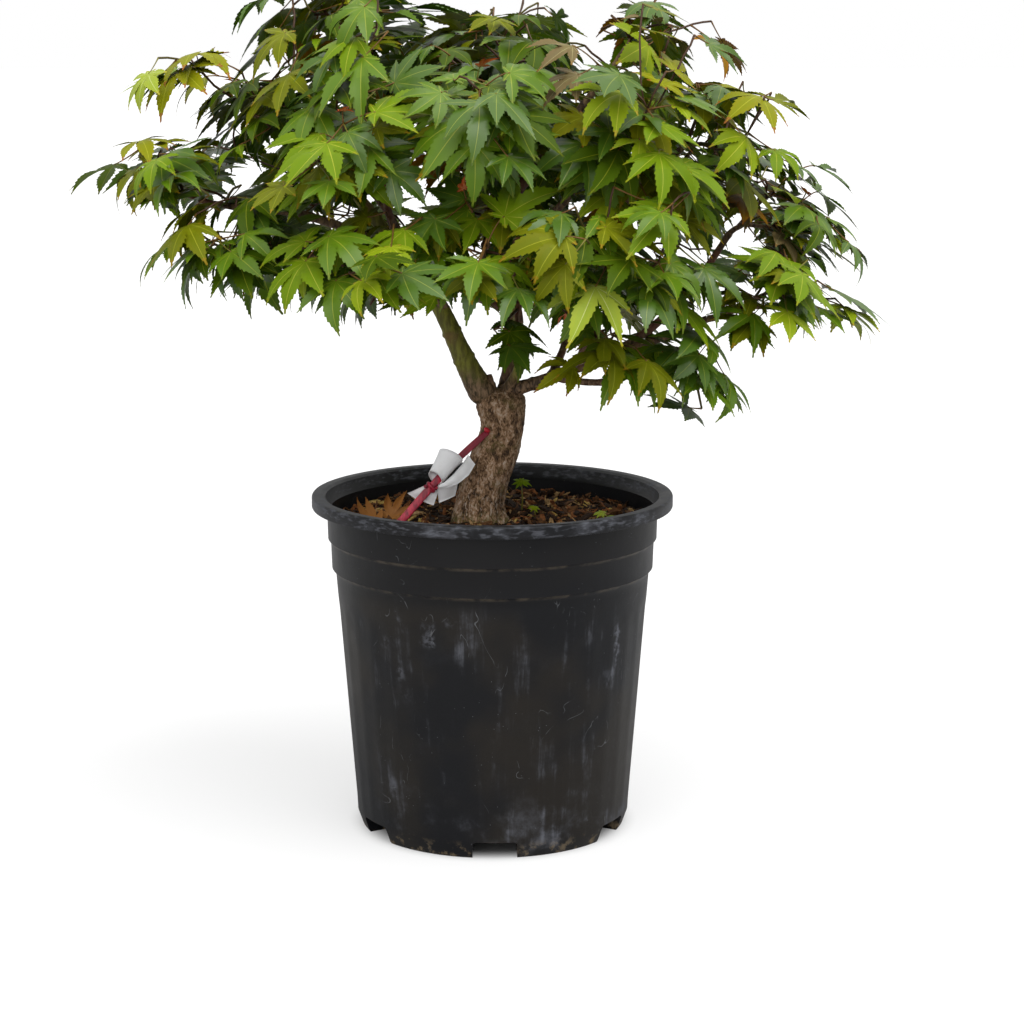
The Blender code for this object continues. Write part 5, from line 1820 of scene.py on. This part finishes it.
@dataclass
class Pot:
    """The round pot: rolled rim, stepped collar, faint flutes and six drainage channels."""

    height: float = 0.2675
    wall: float = 0.0022
    rim_radius: float = 0.1425
    rim_width: float = 0.0092
    rim_drop: float = 0.01
    rim_edge: float = 0.0016
    rim_hollow: float = 0.004
    collar_radius: float = 0.1307
    collar_taper: float = 0.0007
    band_drop: float = 0.0022
    first_step: float = 0.2325
    second_step: float = 0.209
    second_radius: float = 0.1278
    top_radius: float = 0.124
    foot_bend_radius: float = 0.1088
    foot_radius: float = 0.1045
    foot_height: float = 0.0115
    floor: float = 0.0165
    steps: int = 192
    channels: int = 6
    channel_first: float = math.radians(1.3)
    channel_width: float = 0.0345
    channel_height: float = 0.0136
    channel_inner: float = 0.064
    channel_round: float = 0.003
    drain_radius: float = 0.0055
    drain_from_axis: float = 0.09
    flutes: int = 36
    flute_depth: float = 0.00035
    flute_top: float = 0.186

    def outer(self) -> list[Pair]:
        """(radius, height) down the outer side, from under the rim to the foot.

        Returns:
            The corners of the wall's outer side.
        """
        under = self.height - self.rim_drop
        return [
            (self.collar_radius, under + self.rim_hollow),
            (self.collar_radius - self.collar_taper, self.first_step + 0.0006),
            (self.collar_radius - self.collar_taper - 0.0008, self.first_step),
            (self.second_radius, self.first_step - self.band_drop),
            (self.second_radius - self.collar_taper, self.second_step + 0.0006),
            (self.second_radius - self.collar_taper - 0.0009, self.second_step),
            (self.top_radius, self.second_step - 1.8 * self.band_drop),
            (self.foot_bend_radius, self.foot_height),
            (self.foot_radius + 0.0008, 0.0016),
            (self.foot_radius - 0.0004, 0.0),
        ]

    def radius_at(self, height: float) -> float:
        """The outer radius at a height below the rim."""
        wall = self.outer()[::-1]
        return float(np.interp(height, [z for _, z in wall], [r for r, _ in wall]))

    def profile(self) -> list[Pair]:
        """(radius, height) from the floor's middle, over the rim, to the underside's middle.

        Returns:
            The corners of the wall's whole section.
        """
        under, top, mouth = self.height - self.rim_drop, self.height, self.rim_radius - self.rim_width
        heights = [self.floor, 0.05, 0.1, 0.15, 0.2, 0.2084, 0.209, 0.2303, 0.2325, 0.245, 0.256]
        inside = [(self.radius_at(z) - self.wall, z) for z in heights]
        lip = [(self.radius_at(0.256) - self.wall + 0.0006, 0.2566), (mouth - self.rim_edge, top - self.rim_edge)]
        rim = [(mouth, top - 0.5 * self.rim_edge), (mouth + 0.6 * self.rim_edge, top - 0.1 * self.rim_edge),
               (mouth + 1.4 * self.rim_edge, top), (self.rim_radius - 2.2 * self.rim_edge, top)]
        arc = [(self.rim_radius - self.rim_edge * (1.0 - math.sin(turn)),
                top - 1.4 * self.rim_edge * (1.0 - math.cos(turn)))
               for turn in (math.radians(15 * step) for step in range(7))]
        skirt = [(self.rim_radius, under + 0.0012), (self.rim_radius - 0.0005, under + 0.0002),
                 (self.rim_radius - 0.0012, under), (self.rim_radius - self.wall, under + 0.0002),
                 (self.rim_radius - self.wall, under + self.rim_hollow)]
        outer = self.outer()
        side = outer[:7]
        fine = [z for z in np.linspace(outer[6][1], self.foot_height, 40)[1:]]
        side += [(self.radius_at(z), float(z)) for z in fine]
        side += outer[8:]
        return [(0.0, self.floor), *inside, *lip, *rim, *arc, *skirt, *side, (0.0, 0.0)]

    def flute(self, angle: float, height: float, radius: float) -> float:
        """How far the wall sinks into a flute, each with a rounded top.

        Args:
            angle: Where the point lies round the pot.
            height: Its height.
            radius: Its distance from the axis.

        Returns:
            The depth.
        """
        if not self.foot_height < height < self.flute_top + 0.01 or radius < self.radius_at(height) - 0.5 * self.wall:
            return 0.0
        across = abs(((angle * self.flutes / math.tau) % 1.0) - 0.5) * 2.0
        top = self.flute_top - 0.006 * across**2 * 2.0
        fade = min(1.0, max(0.0, (top - height) / 0.006)) * min(1.0, (height - self.foot_height) / 0.01)
        return self.flute_depth * fade * max(0.0, 1.0 - (across / 0.82) ** 4)

    def cutters(self) -> bpy.types.Collection:
        """Boxes and drain holes that cut the channels from the underside.

        Returns:
            Their collection.
        """
        collection = bpy.data.collections.new("channel_cutters")
        depth = self.rim_radius - self.channel_inner
        for number in range(self.channels):
            turn = Matrix.Rotation(self.channel_first + number * math.tau / self.channels, 4, "Z")
            bm = bmesh.new()
            bmesh.ops.create_cube(bm, size=1.0)
            size = Matrix.Diagonal((self.channel_width, depth, 2 * self.channel_height, 1.0))
            bm.transform(turn @ Matrix.Translation((0, -self.channel_inner - depth / 2, 0)) @ size)
            bmesh.ops.bevel(bm, geom=bm.edges[:], offset=self.channel_round, segments=4, affect="EDGES", profile=0.5)
            self.link_cutter(bm, f"channel_{number + 1}", collection)
            bm = bmesh.new()
            bmesh.ops.create_cone(bm, cap_ends=True, segments=32, radius1=self.drain_radius,
                                  radius2=self.drain_radius, depth=4 * self.wall)
            middle = (self.channel_height + self.floor) / 2
            bm.transform(turn @ Matrix.Translation((0, -self.drain_from_axis, middle)))
            self.link_cutter(bm, f"drain_{number + 1}", collection)
        return collection

    @staticmethod
    def link_cutter(bm: bmesh.types.BMesh, name: str, collection: bpy.types.Collection) -> None:
        """Make a cutter's object.

        Args:
            bm: The cutter's mesh, freed here.
            name: Its name.
            collection: Where it goes.
        """
        mesh = bpy.data.meshes.new(name)
        bm.to_mesh(mesh)
        bm.free()
        collection.objects.link(bpy.data.objects.new(name, mesh))

    def make(self) -> None:
        """Turn the wall, sink the flutes, cut the channels and dress the pot."""
        profile = self.profile()
        angles = np.arange(self.steps) * math.tau / self.steps
        rows = []
        for radius, height in profile[1:-1]:
            radii = np.array([radius - self.flute(float(angle), height, radius) for angle in angles])
            rows.append(np.stack([radii * np.cos(angles), radii * np.sin(angles), np.full(self.steps, height)], 1))
        vertices, triangles = closed_rings(rows, ((0.0, 0.0, profile[0][1]), (0.0, 0.0, profile[-1][1])))
        builder = Builder()
        builder.add(vertices, triangles[:, ::-1], builder.slot(PotPlastic()))
        pot = builder.piece("pot_shell")
        self.cut(pot)
        settle(pot, "pot", "pot")

    def cut(self, pot: bpy.types.Object) -> None:
        """Cut the channels by Boolean, apply it, and keep the creases sharp.

        Args:
            pot: The pot's piece.
        """
        cutters = self.cutters()
        bpy.context.scene.collection.children.link(cutters)
        modifier = pot.modifiers.new("channels", "BOOLEAN")
        modifier.operation = "DIFFERENCE"
        modifier.operand_type = "COLLECTION"
        modifier.collection = cutters
        graph = bpy.context.evaluated_depsgraph_get()
        mesh = bpy.data.meshes.new_from_object(pot.evaluated_get(graph))
        pot.modifiers.clear()
        pot.data = mesh
        for obj in list(cutters.objects):
            bpy.data.objects.remove(obj, do_unlink=True)
        bpy.data.collections.remove(cutters)
        mesh.set_sharp_from_angle(angle=math.radians(32.0))


@dataclass
class Soil:
    """Bark mulch: an uneven bed, shreds and chips on it, a dead leaf and some seedlings."""

    pot: Pot
    height: float = SOIL_HEIGHT
    trunk_foot: Point = (-0.01, -0.012, 0.0235)
    rings: int = 60
    sides: int = 150
    chips: int = 1900
    seedlings: tuple[tuple[float, ...], ...] = (
        (0.023, 0.023, 0.027, 0.01), (0.033, 0.005, 0.009, 0.006),
        (0.085, -0.018, 0.01, 0.0075), (0.093, -0.028, 0.008, 0.0065), (0.022, -0.06, 0.006, 0.0055),
    )
    bed: Mulch = Mulch("mulch_bed", (0.005, 0.0028, 0.0016), (0.033, 0.016, 0.0075))
    shreds: tuple[Mulch, ...] = (
        Mulch("shred_dark", (0.011, 0.0055, 0.003), (0.05, 0.024, 0.011)),
        Mulch("shred_brown", (0.05, 0.021, 0.008), (0.17, 0.076, 0.027)),
        Mulch("shred_red", (0.11, 0.035, 0.012), (0.32, 0.125, 0.04)),
        Mulch("shred_tan", (0.24, 0.13, 0.05), (0.6, 0.39, 0.18)),
        Mulch("shred_straw", (0.36, 0.22, 0.05), (0.65, 0.46, 0.14)),
    )
    weights: tuple[int, ...] = (40, 26, 18, 13, 4)
    chip_length: Pair = (0.004, 0.015)
    chip_width: Pair = (0.14, 0.5)
    chip_thickness: Pair = (0.22, 0.5)
    chip_bow: Pair = (-0.35, 0.35)
    chip_steps: int = 4
    chip_rise: Pair = (0.0003, 0.0028)
    margin: float = 0.007
    fallen_length: float = 0.026
    fallen: tuple[tuple[int, Point, tuple[Point, Point]], ...] = (
        (31, (-0.08, -0.016, 0.005), ((0.3, 0.3, 0.55), (0.1, -0.8, 0.75))),
        (32, (-0.09, -0.024, 0.0035), ((-0.8, 0.2, 0.25), (0.0, -0.55, 1.0))),
    )

    def bed_height(self, x: float, y: float) -> float:
        """The bed's height at a place."""
        lumps = noise.fractal(Vector((x, y, 0.0)) * 55.0, 0.9, 2.1, 4)
        return self.height + 0.002 * lumps - 0.0012 * (math.hypot(x, y) / 0.125) ** 2

    def make_bed(self) -> None:
        """The bed, down to the pot's floor."""
        wall = self.pot.radius_at(self.height) - self.pot.wall - 0.0004
        builder = Builder()
        shares = (np.arange(self.rings) + 1) / self.rings
        angles = np.arange(self.sides) * math.tau / self.sides
        rows = []
        for share in shares:
            ring = [(wall * share * math.cos(a), wall * share * math.sin(a)) for a in angles]
            rows.append(np.array([(x, y, self.bed_height(x, y)) for x, y in ring]))
        for height in (0.225, 0.205, self.pot.floor + 0.0003):
            radius = self.pot.radius_at(height) - self.pot.wall - 0.0006
            rows.append(np.stack([radius * np.cos(angles), radius * np.sin(angles), np.full(self.sides, height)], 1))
        middles = (self.bed_height(0.0, 0.0), self.pot.floor + 0.0003)
        vertices, triangles = closed_rings(rows, [(0.0, 0.0, height) for height in middles])
        builder.add(vertices, triangles[:, ::-1], builder.slot(self.bed))
        settle(builder.piece("soil_bed"), "soil", "soil")

    def chip(self, rng: random.Random) -> Surface:
        """A split shred of bark: a bent, pointed sliver or a blunt chip.

        Args:
            rng: Its sizes come from this.

        Returns:
            Its vertices and triangles.
        """
        length = rng.uniform(*self.chip_length)
        width = length * rng.uniform(*self.chip_width)
        thick = width * rng.uniform(*self.chip_thickness)
        count = self.chip_steps
        rows = []
        bow = rng.uniform(*self.chip_bow)
        for step in range(count + 1):
            t = step / count
            taper = 0.35 + 0.65 * math.sin(math.pi * (0.12 + 0.76 * t)) * rng.uniform(0.75, 1.15)
            x = (t - 0.5) * length
            lift = bow * length * (0.25 - (t - 0.5) ** 2)
            for across, up in ((-1, -1), (1, -1), (1, 1), (-1, 1)):
                rows.append((x, across * width / 2 * taper * rng.uniform(0.8, 1.1),
                             lift + up * thick / 2 * taper * rng.uniform(0.6, 1.2)))
        faces = rings_to_triangles(count + 1, 4)[:, ::-1]
        last = count * 4
        caps = np.array([(0, 1, 2), (0, 2, 3), (last + 2, last + 1, last), (last + 3, last + 2, last)])
        return np.array(rows), np.concatenate([faces, caps])

    def make_shreds(self) -> None:
        """The shreds strewn on the bed, thicker away from the trunk."""
        rng = random.Random(7)
        builder = Builder()
        limit = self.pot.radius_at(self.height) - self.pot.wall - self.margin
        x0, y0, foot = self.trunk_foot
        for _ in range(self.chips):
            angle, reach = rng.uniform(0, math.tau), limit * math.sqrt(rng.random())
            x, y = reach * math.cos(angle), reach * math.sin(angle)
            if math.hypot(x - x0, y - y0) < foot:
                continue
            vertices, faces = self.chip(rng)
            turn = (Matrix.Rotation(rng.uniform(0, math.tau), 3, "Z")
                    @ Matrix.Rotation(rng.gauss(0, 0.38), 3, "Y") @ Matrix.Rotation(rng.gauss(0, 0.5), 3, "X"))
            lifted = (x, y, self.bed_height(x, y) + rng.uniform(*self.chip_rise))
            finish = rng.choices(self.shreds, self.weights)[0]
            builder.add(vertices @ np.array(turn).T + lifted, faces, builder.slot(finish))
        settle(builder.piece("mulch_shreds", smooth=False), "soil")

    def add_leaf(self, builder: Builder, shape: LeafShape, spot: Point, turn: tuple[Vector, Vector],
                 length: float, slots: np.ndarray) -> None:
        """Add a leaf above the bed.

        Args:
            builder: The piece.
            shape: The leaf's shape.
            spot: The foot of the leaf, as x, y and its height above the bed.
            turn: The ways that it points and faces.
            length: Its middle lobe's length.
            slots: A slot for each of its parts.
        """
        x, y, rise = spot
        place = Vector((x, y, self.bed_height(x, y) + rise))
        points = shape.points * length @ np.array(facing(*turn)).T + np.array(place)
        builder.add(points, shape.triangles, slots[shape.face_parts])

    def make_litter(self) -> None:
        """A fallen leaf by the tie and the seedlings that came up round the trunk."""
        fallen = Builder()
        brown = Plain("fallen_leaf", (0.34, 0.14, 0.03), 0.6)
        dull = Plain("fallen_vein", (0.3, 0.12, 0.03), 0.6)
        slots = np.array([fallen.slot(brown)] * 3 + [fallen.slot(dull)] + [fallen.slot(brown)])
        for seed, spot, turn in self.fallen:
            shape = LeafShape(random.Random(seed), bend=(-1.5, -0.9), fold=(0.3, 0.7))
            self.add_leaf(fallen, shape, spot, (Vector(turn[0]), Vector(turn[1])), self.fallen_length, slots)
        settle(fallen.piece("fallen_leaf"), "soil")
        green = Builder()
        for number, (x, y, rise, length) in enumerate(self.seedlings):
            tone = TONES[GRASS + number % 3]
            slots = np.array([green.slot(tone.finish(part)) for part in LeafPart])
            foot = Vector((x, y + 0.002, self.bed_height(x, y) - 0.002))
            top = Vector((x, y, self.bed_height(x, y) + rise))
            green.add(*tube([foot, (foot + top) / 2 + Vector((0.001, 0, 0)), top], (0.0007, 0.0006, 0.0005), 5),
                      green.slot(STALK_GREEN))
            for side in (-1, 1):
                shape = LeafShape(random.Random(40 + 2 * number + side))
                way = (Vector((side, -0.4, 0.2)), Vector((0.1 * side, -0.6, 1.0)))
                self.add_leaf(green, shape, (x, y, rise), way, length, slots)
        settle(green.piece("seedlings"), "soil")

    def make(self) -> None:
        """The bed and all that lies on it."""
        self.make_bed()
        self.make_shreds()
        self.make_litter()


# ---- tie and tag


@dataclass
class Tie:
    """The flat red tape from the trunk down to the soil, with its knot."""

    width: float = 0.0058
    narrow: float = 0.0042
    thick: float = 0.0018
    start: Point = (0.002, -0.017, 0.3215)
    path: tuple[Point, ...] = ((-0.004, -0.022, 0.319), (-0.0262, -0.032, 0.3), (-0.048, -0.042, 0.2785))
    landing: Pair = (-0.0745, -0.054)
    end: Pair = (-0.099, -0.064)
    lie: float = 0.2493
    sides: int = 16
    widening: int = 14
    squareness: float = 0.6
    knot_steps: int = 43
    knot_turns: float = 1.6
    knot: Point = (0.0034, 0.0024, 0.005)

    def points(self) -> list[Vector]:
        """The way of the tape, rounded at its bends.

        Returns:
            The points from the trunk to the end on the soil.
        """
        corners = [Vector(p) for p in (self.start, *self.path, (*self.landing, self.lie), (*self.end, self.lie))]
        found = [corners[0]]
        for a, b, c in zip(corners, corners[1:], corners[2:]):
            found += bezier(a.lerp(b, 0.7), b, b.lerp(c, 0.3), 6)
        return [*found, corners[-1]]

    def squared(self, share: float) -> float:
        """A sine or cosine, pushed out so that the tape's section is flat with round edges."""
        return math.copysign(abs(share) ** self.squareness, share)

    def make(self) -> None:
        """The tape, its folded end on the trunk and its knot."""
        builder = Builder()
        points = self.points()
        turns = carried_frames(points)
        rows = []
        for number, (point, turn) in enumerate(zip(points, turns)):
            way = turn @ UP
            across = way.cross(Vector((0.35, 1.0, 0.25))).normalized()
            out = across.cross(way).normalized()
            width = self.narrow + (self.width - self.narrow) * min(1.0, number / self.widening)
            for step in range(self.sides):
                angle = step * math.tau / self.sides
                wide = width / 2 * self.squared(math.cos(angle))
                deep = self.thick / 2 * self.squared(math.sin(angle))
                rows.append(tuple(point + across * wide * (1.0 + 0.06 * math.sin(number)) + out * deep))
        count = len(points)
        last = (count - 1) * self.sides
        ends = [(0, k + 1, k) for k in range(1, self.sides - 1)]
        ends += [(last, last + k, last + k + 1) for k in range(1, self.sides - 1)]
        slot = builder.slot(Ribbon())
        builder.add(np.array(rows), np.concatenate([rings_to_triangles(count, self.sides), np.array(ends)]), slot)
        fold = Vector(self.path[0]) + Vector((0.0, -0.0012, 0.002))
        ends = [fold + Vector((0.0022 * (t - 0.5), -0.0006, 0.0026 * (t - 0.5))) for t in (0.0, 0.25, 0.75, 1.0)]
        # the folded end wears a brighter copy of the tape's colours: a painted highlight
        bright = builder.slot(Ribbon("red_fold_painted_highlight", (0.8, 0.03, 0.045), (0.55, 0.012, 0.03)))
        builder.add(*tube(ends, (0.0012, 0.0026, 0.0026, 0.0012), 10), bright)
        self.add_knot(builder, slot)
        settle(builder.piece("red_tie"), "tie", "tie_band")

    def add_knot(self, builder: Builder, slot: int) -> None:
        """The knot: the tape's turns round itself.

        Args:
            builder: The tie's piece.
            slot: The tape's slot.
        """
        middle = Vector(self.path[-1]) + Vector((0.0008, -0.001, 0.0008))
        way = (Vector(self.path[-2]) - middle).normalized()
        side = way.cross(Vector((0, 1, 0))).normalized()
        front = side.cross(way)
        loop = []
        wide, deep, long = self.knot
        for step in range(self.knot_steps + 1):
            share = step / self.knot_steps
            angle = share * math.tau * self.knot_turns
            loop.append(middle + (side * wide * math.cos(angle) + front * deep * math.sin(angle))
                        + way * (long * (share - 0.5)))
        builder.add(*tube(loop, [0.0015] * len(loop), 10), slot)


def plate(grid: np.ndarray, thick: float) -> Surface:
    """A thin sheet with real thickness, from a grid of points.

    Args:
        grid: Rows by columns of x, y, z.
        thick: Its thickness.

    Returns:
        Its vertices and triangles.
    """
    rows, columns = grid.shape[:2]
    down = np.gradient(grid, axis=0)
    along = np.gradient(grid, axis=1)
    normal = np.cross(along, down)
    normal /= np.linalg.norm(normal, axis=2, keepdims=True)
    front = (grid + normal * thick / 2).reshape(-1, 3)
    back = (grid - normal * thick / 2).reshape(-1, 3)
    faces = rings_to_triangles(rows, columns, closed=False)
    total = rows * columns
    border = [*range(columns), *range(2 * columns - 1, total, columns),
              *range(total - 2, total - columns - 1, -1), *range(total - 2 * columns, 0, -columns)]
    edge = np.array(border)
    after = np.roll(edge, -1)
    sides = [np.stack([edge, edge + total, after + total], 1), np.stack([edge, after + total, after], 1)]
    return np.concatenate([front, back]), np.concatenate([faces[:, ::-1], faces + total, *sides])


@dataclass
class Tag:
    """The blank white tag: a rolled sleeve that the tie passes through, and its spread ends.

    The corners of the band's steps and of the flaps are in tenths of a millimetre.
    """

    wall: float = 0.0006
    upper: tuple[Point, float] = ((-0.0316, -0.0368, 0.3032), 0.0086)
    lower: tuple[Point, float] = ((-0.0438, -0.042, 0.2862), 0.0064)
    flatness: float = 0.72
    slant: float = 0.003
    rows: int = 8
    turns: int = 32
    overlap: float = 0.97
    band: tuple[tuple[Whole, Whole], ...] = (
        ((-186, -330, 3030), (-132, -330, 2955)),
        ((-232, -400, 2965), (-182, -400, 2880)),
        ((-300, -455, 2895), (-262, -450, 2826)),
        ((-362, -480, 2842), (-345, -478, 2800)),
        ((-410, -482, 2814), (-416, -480, 2794)),
    )
    flaps: tuple[tuple[Whole, Whole, Whole, Whole], ...] = (
        ((-424, -430, 2800), (-264, -370, 2820), (-412, -390, 2663), (-288, -340, 2711)),
        ((-655, -380, 2736), (-500, -390, 2812), (-588, -375, 2690), (-450, -390, 2745)),
        ((-500, -375, 2775), (-405, -395, 2790), (-545, -385, 2679), (-455, -385, 2642)),
    )

    def sleeve(self) -> np.ndarray:
        """The sleeve's grid, its upper edge lifted a little.

        Returns:
            Rows by columns of x, y, z.
        """
        (upper, wide), (lower, narrow) = self.upper, self.lower
        axis = (Vector(lower) - Vector(upper)).normalized()
        side = axis.cross(Vector((0, 1, 0))).normalized()
        front = side.cross(axis)
        rows = []
        for step in range(self.rows + 1):
            t = step / self.rows
            middle = Vector(upper).lerp(Vector(lower), t)
            radius = wide + (narrow - wide) * t + 0.001 * (1.0 - t) ** 3
            row = []
            for turn in range(self.turns + 1):
                angle = turn / self.turns * math.tau * self.overlap + 1.3
                lift = 0.0012 * math.cos(angle) * (1.0 - 2.0 * t) - self.slant * math.sin(angle)
                row.append(tuple(middle + side * radius * math.cos(angle)
                                 + front * radius * self.flatness * math.sin(angle) - axis * lift))
            rows.append(row)
        return np.array(rows)

    def make(self) -> None:
        """Build the sleeve, the band round it and the flaps."""
        builder = Builder()
        slot = builder.slot(Card())
        builder.add(*plate(self.sleeve(), self.wall), slot)
        ends = np.array([[scaled(corner, TENTHS) for corner in step] for step in self.band])
        finer = np.linspace(0, len(ends) - 1, 17)
        sides = [np.stack([np.interp(finer, range(len(ends)), ends[:, edge, axis]) for axis in range(3)], 1)
                 for edge in range(2)]
        shares = np.linspace(0, 1, 5)[:, None, None]
        band = sides[0][None] * (1 - shares) + sides[1][None] * shares
        band[:, :, 1] -= 0.0016 * np.sin(np.pi * shares[:, :, 0])
        builder.add(*plate(band, self.wall), slot)
        for corners in self.flaps:
            a, b, c, d = (np.array(scaled(corner, TENTHS)) for corner in corners)
            u, v = np.meshgrid(np.linspace(0, 1, 7), np.linspace(0, 1, 7))
            u, v = u[..., None], v[..., None]
            grid = a * (1 - u) * (1 - v) + b * u * (1 - v) + c * (1 - u) * v + d * u * v
            grid[..., 1] -= (0.0022 * np.sin(np.pi * u) * np.sin(np.pi * (0.2 + 0.6 * v)))[..., 0]
            builder.add(*plate(grid, self.wall), slot)
        settle(builder.piece("white_tag"), "tag", "label_tag")


# ---- studio


@dataclass
class Studio:
    """The pale floor, the soft lights and the camera."""

    camera_place: Point = EYE
    camera_pitch: float = math.radians(79.106)
    lens: float = 90.44
    sensor: float = 36.0
    far: float = 100.0
    floor_size: float = 60.0
    surround: Pair = (0.45, 1.2)
    backdrop: float = 1.0
    floor_base: Colour = (0.42, 0.42, 0.42)
    floor_glow: float = 0.52
    # distances from the pot's axis over which the floor's glow comes back: inside them the floor is darker, a painted
    # contact shadow
    painted_contact_shadow: Pair = (0.085, 0.118)
    lights: tuple[tuple[str, Point, float, float], ...] = (
        ("soft_key", (0.42, -0.38, 1.0), 1.9, 50.0),
        ("soft_fill", (-0.3, -1.0, 0.7), 0.9, 60.0),
    )

    def make_floor(self) -> None:
        """The pale floor, which isn't part of the plant. Its glow, seen only by the camera, fades out near the pot's
        foot: a painted contact shadow.
        """
        half = self.floor_size / 2
        mesh = bpy.data.meshes.new("studio_floor")
        mesh.from_pydata([(-half, -half, 0), (half, -half, 0), (half, half, 0), (-half, half, 0)], [], [(0, 1, 2, 3)])
        tree = Tree(bpy.data.materials.new("floor_white"))
        seen = tree.add("ShaderNodeLightPath", {}, {})
        away = tree.add("ShaderNodeVectorMath", {"operation": "LENGTH"}, {0: tree.place()}, 1)
        # no glow close to the pot's foot, so the floor darkens there: painted contact shadow
        glow_with_painted_shadow = tree.mix(seen * away.ramp(*self.painted_contact_shadow), (0.0, 0.0, 0.0), (1.0, 1.0, 1.0))
        mesh.materials.append(tree.finish(base_color=self.floor_base, roughness=1.0, specular_ior_level=0.0,
                                          emission_color=glow_with_painted_shadow, emission_strength=self.floor_glow))
        floor = bpy.data.objects.new("studio_floor", mesh)
        bpy.context.scene.collection.objects.link(floor)
        floor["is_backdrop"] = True

    def make_world(self) -> None:
        """A surround that lights softly, most of all from above, before a white backdrop."""
        tree = Tree(bpy.data.worlds.new("studio_world"))
        upward = tree.add("ShaderNodeSeparateXYZ", {}, {0: tree.add("ShaderNodeTexCoord", {}, {})}, 2)
        around = tree.add("ShaderNodeMapRange", {}, {0: upward, 3: self.surround[0], 4: self.surround[1]})
        seen = tree.add("ShaderNodeLightPath", {}, {})
        strength = tree.add("ShaderNodeMapRange", {}, {0: seen, 3: around, 4: self.backdrop})
        bpy.context.scene.world = tree.finish(color=(1.0, 1.0, 1.0), strength=strength)

    def make(self) -> None:
        """Set up the whole studio."""
        self.make_floor()
        self.make_world()
        for name, way, strength, softness in self.lights:
            light = bpy.data.lights.new(name, "SUN")
            light.energy = strength
            light.angle = math.radians(softness)
            obj = bpy.data.objects.new(name, light)
            obj.rotation_euler = (-Vector(way)).to_track_quat("-Z", "Y").to_euler()
            bpy.context.scene.collection.objects.link(obj)
        bpy.context.scene.view_settings.view_transform = "Standard"
        data = bpy.data.cameras.new("front_camera")
        data.lens = self.lens
        data.sensor_width = self.sensor
        data.clip_end = self.far
        camera = bpy.data.objects.new("front_camera", data)
        camera.location = self.camera_place
        camera.rotation_euler = (self.camera_pitch, 0.0, 0.0)
        bpy.context.scene.collection.objects.link(camera)
        bpy.context.scene.camera = camera


def write_sizes() -> None:
    """Update the view layer.
    """
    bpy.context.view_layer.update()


def main() -> None:
    """Build every sub-assembly in order."""
    logging.basicConfig(level=logging.INFO, format="%(message)s")
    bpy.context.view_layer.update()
    Studio().make()
    pot = Pot()
    pot.make()
    Soil(pot).make()
    wood = Wood()
    wood.make()
    Tie().make()
    Tag().make()
    Foliage(wood).make()
    write_sizes()


if __name__ == "__main__":
    main()
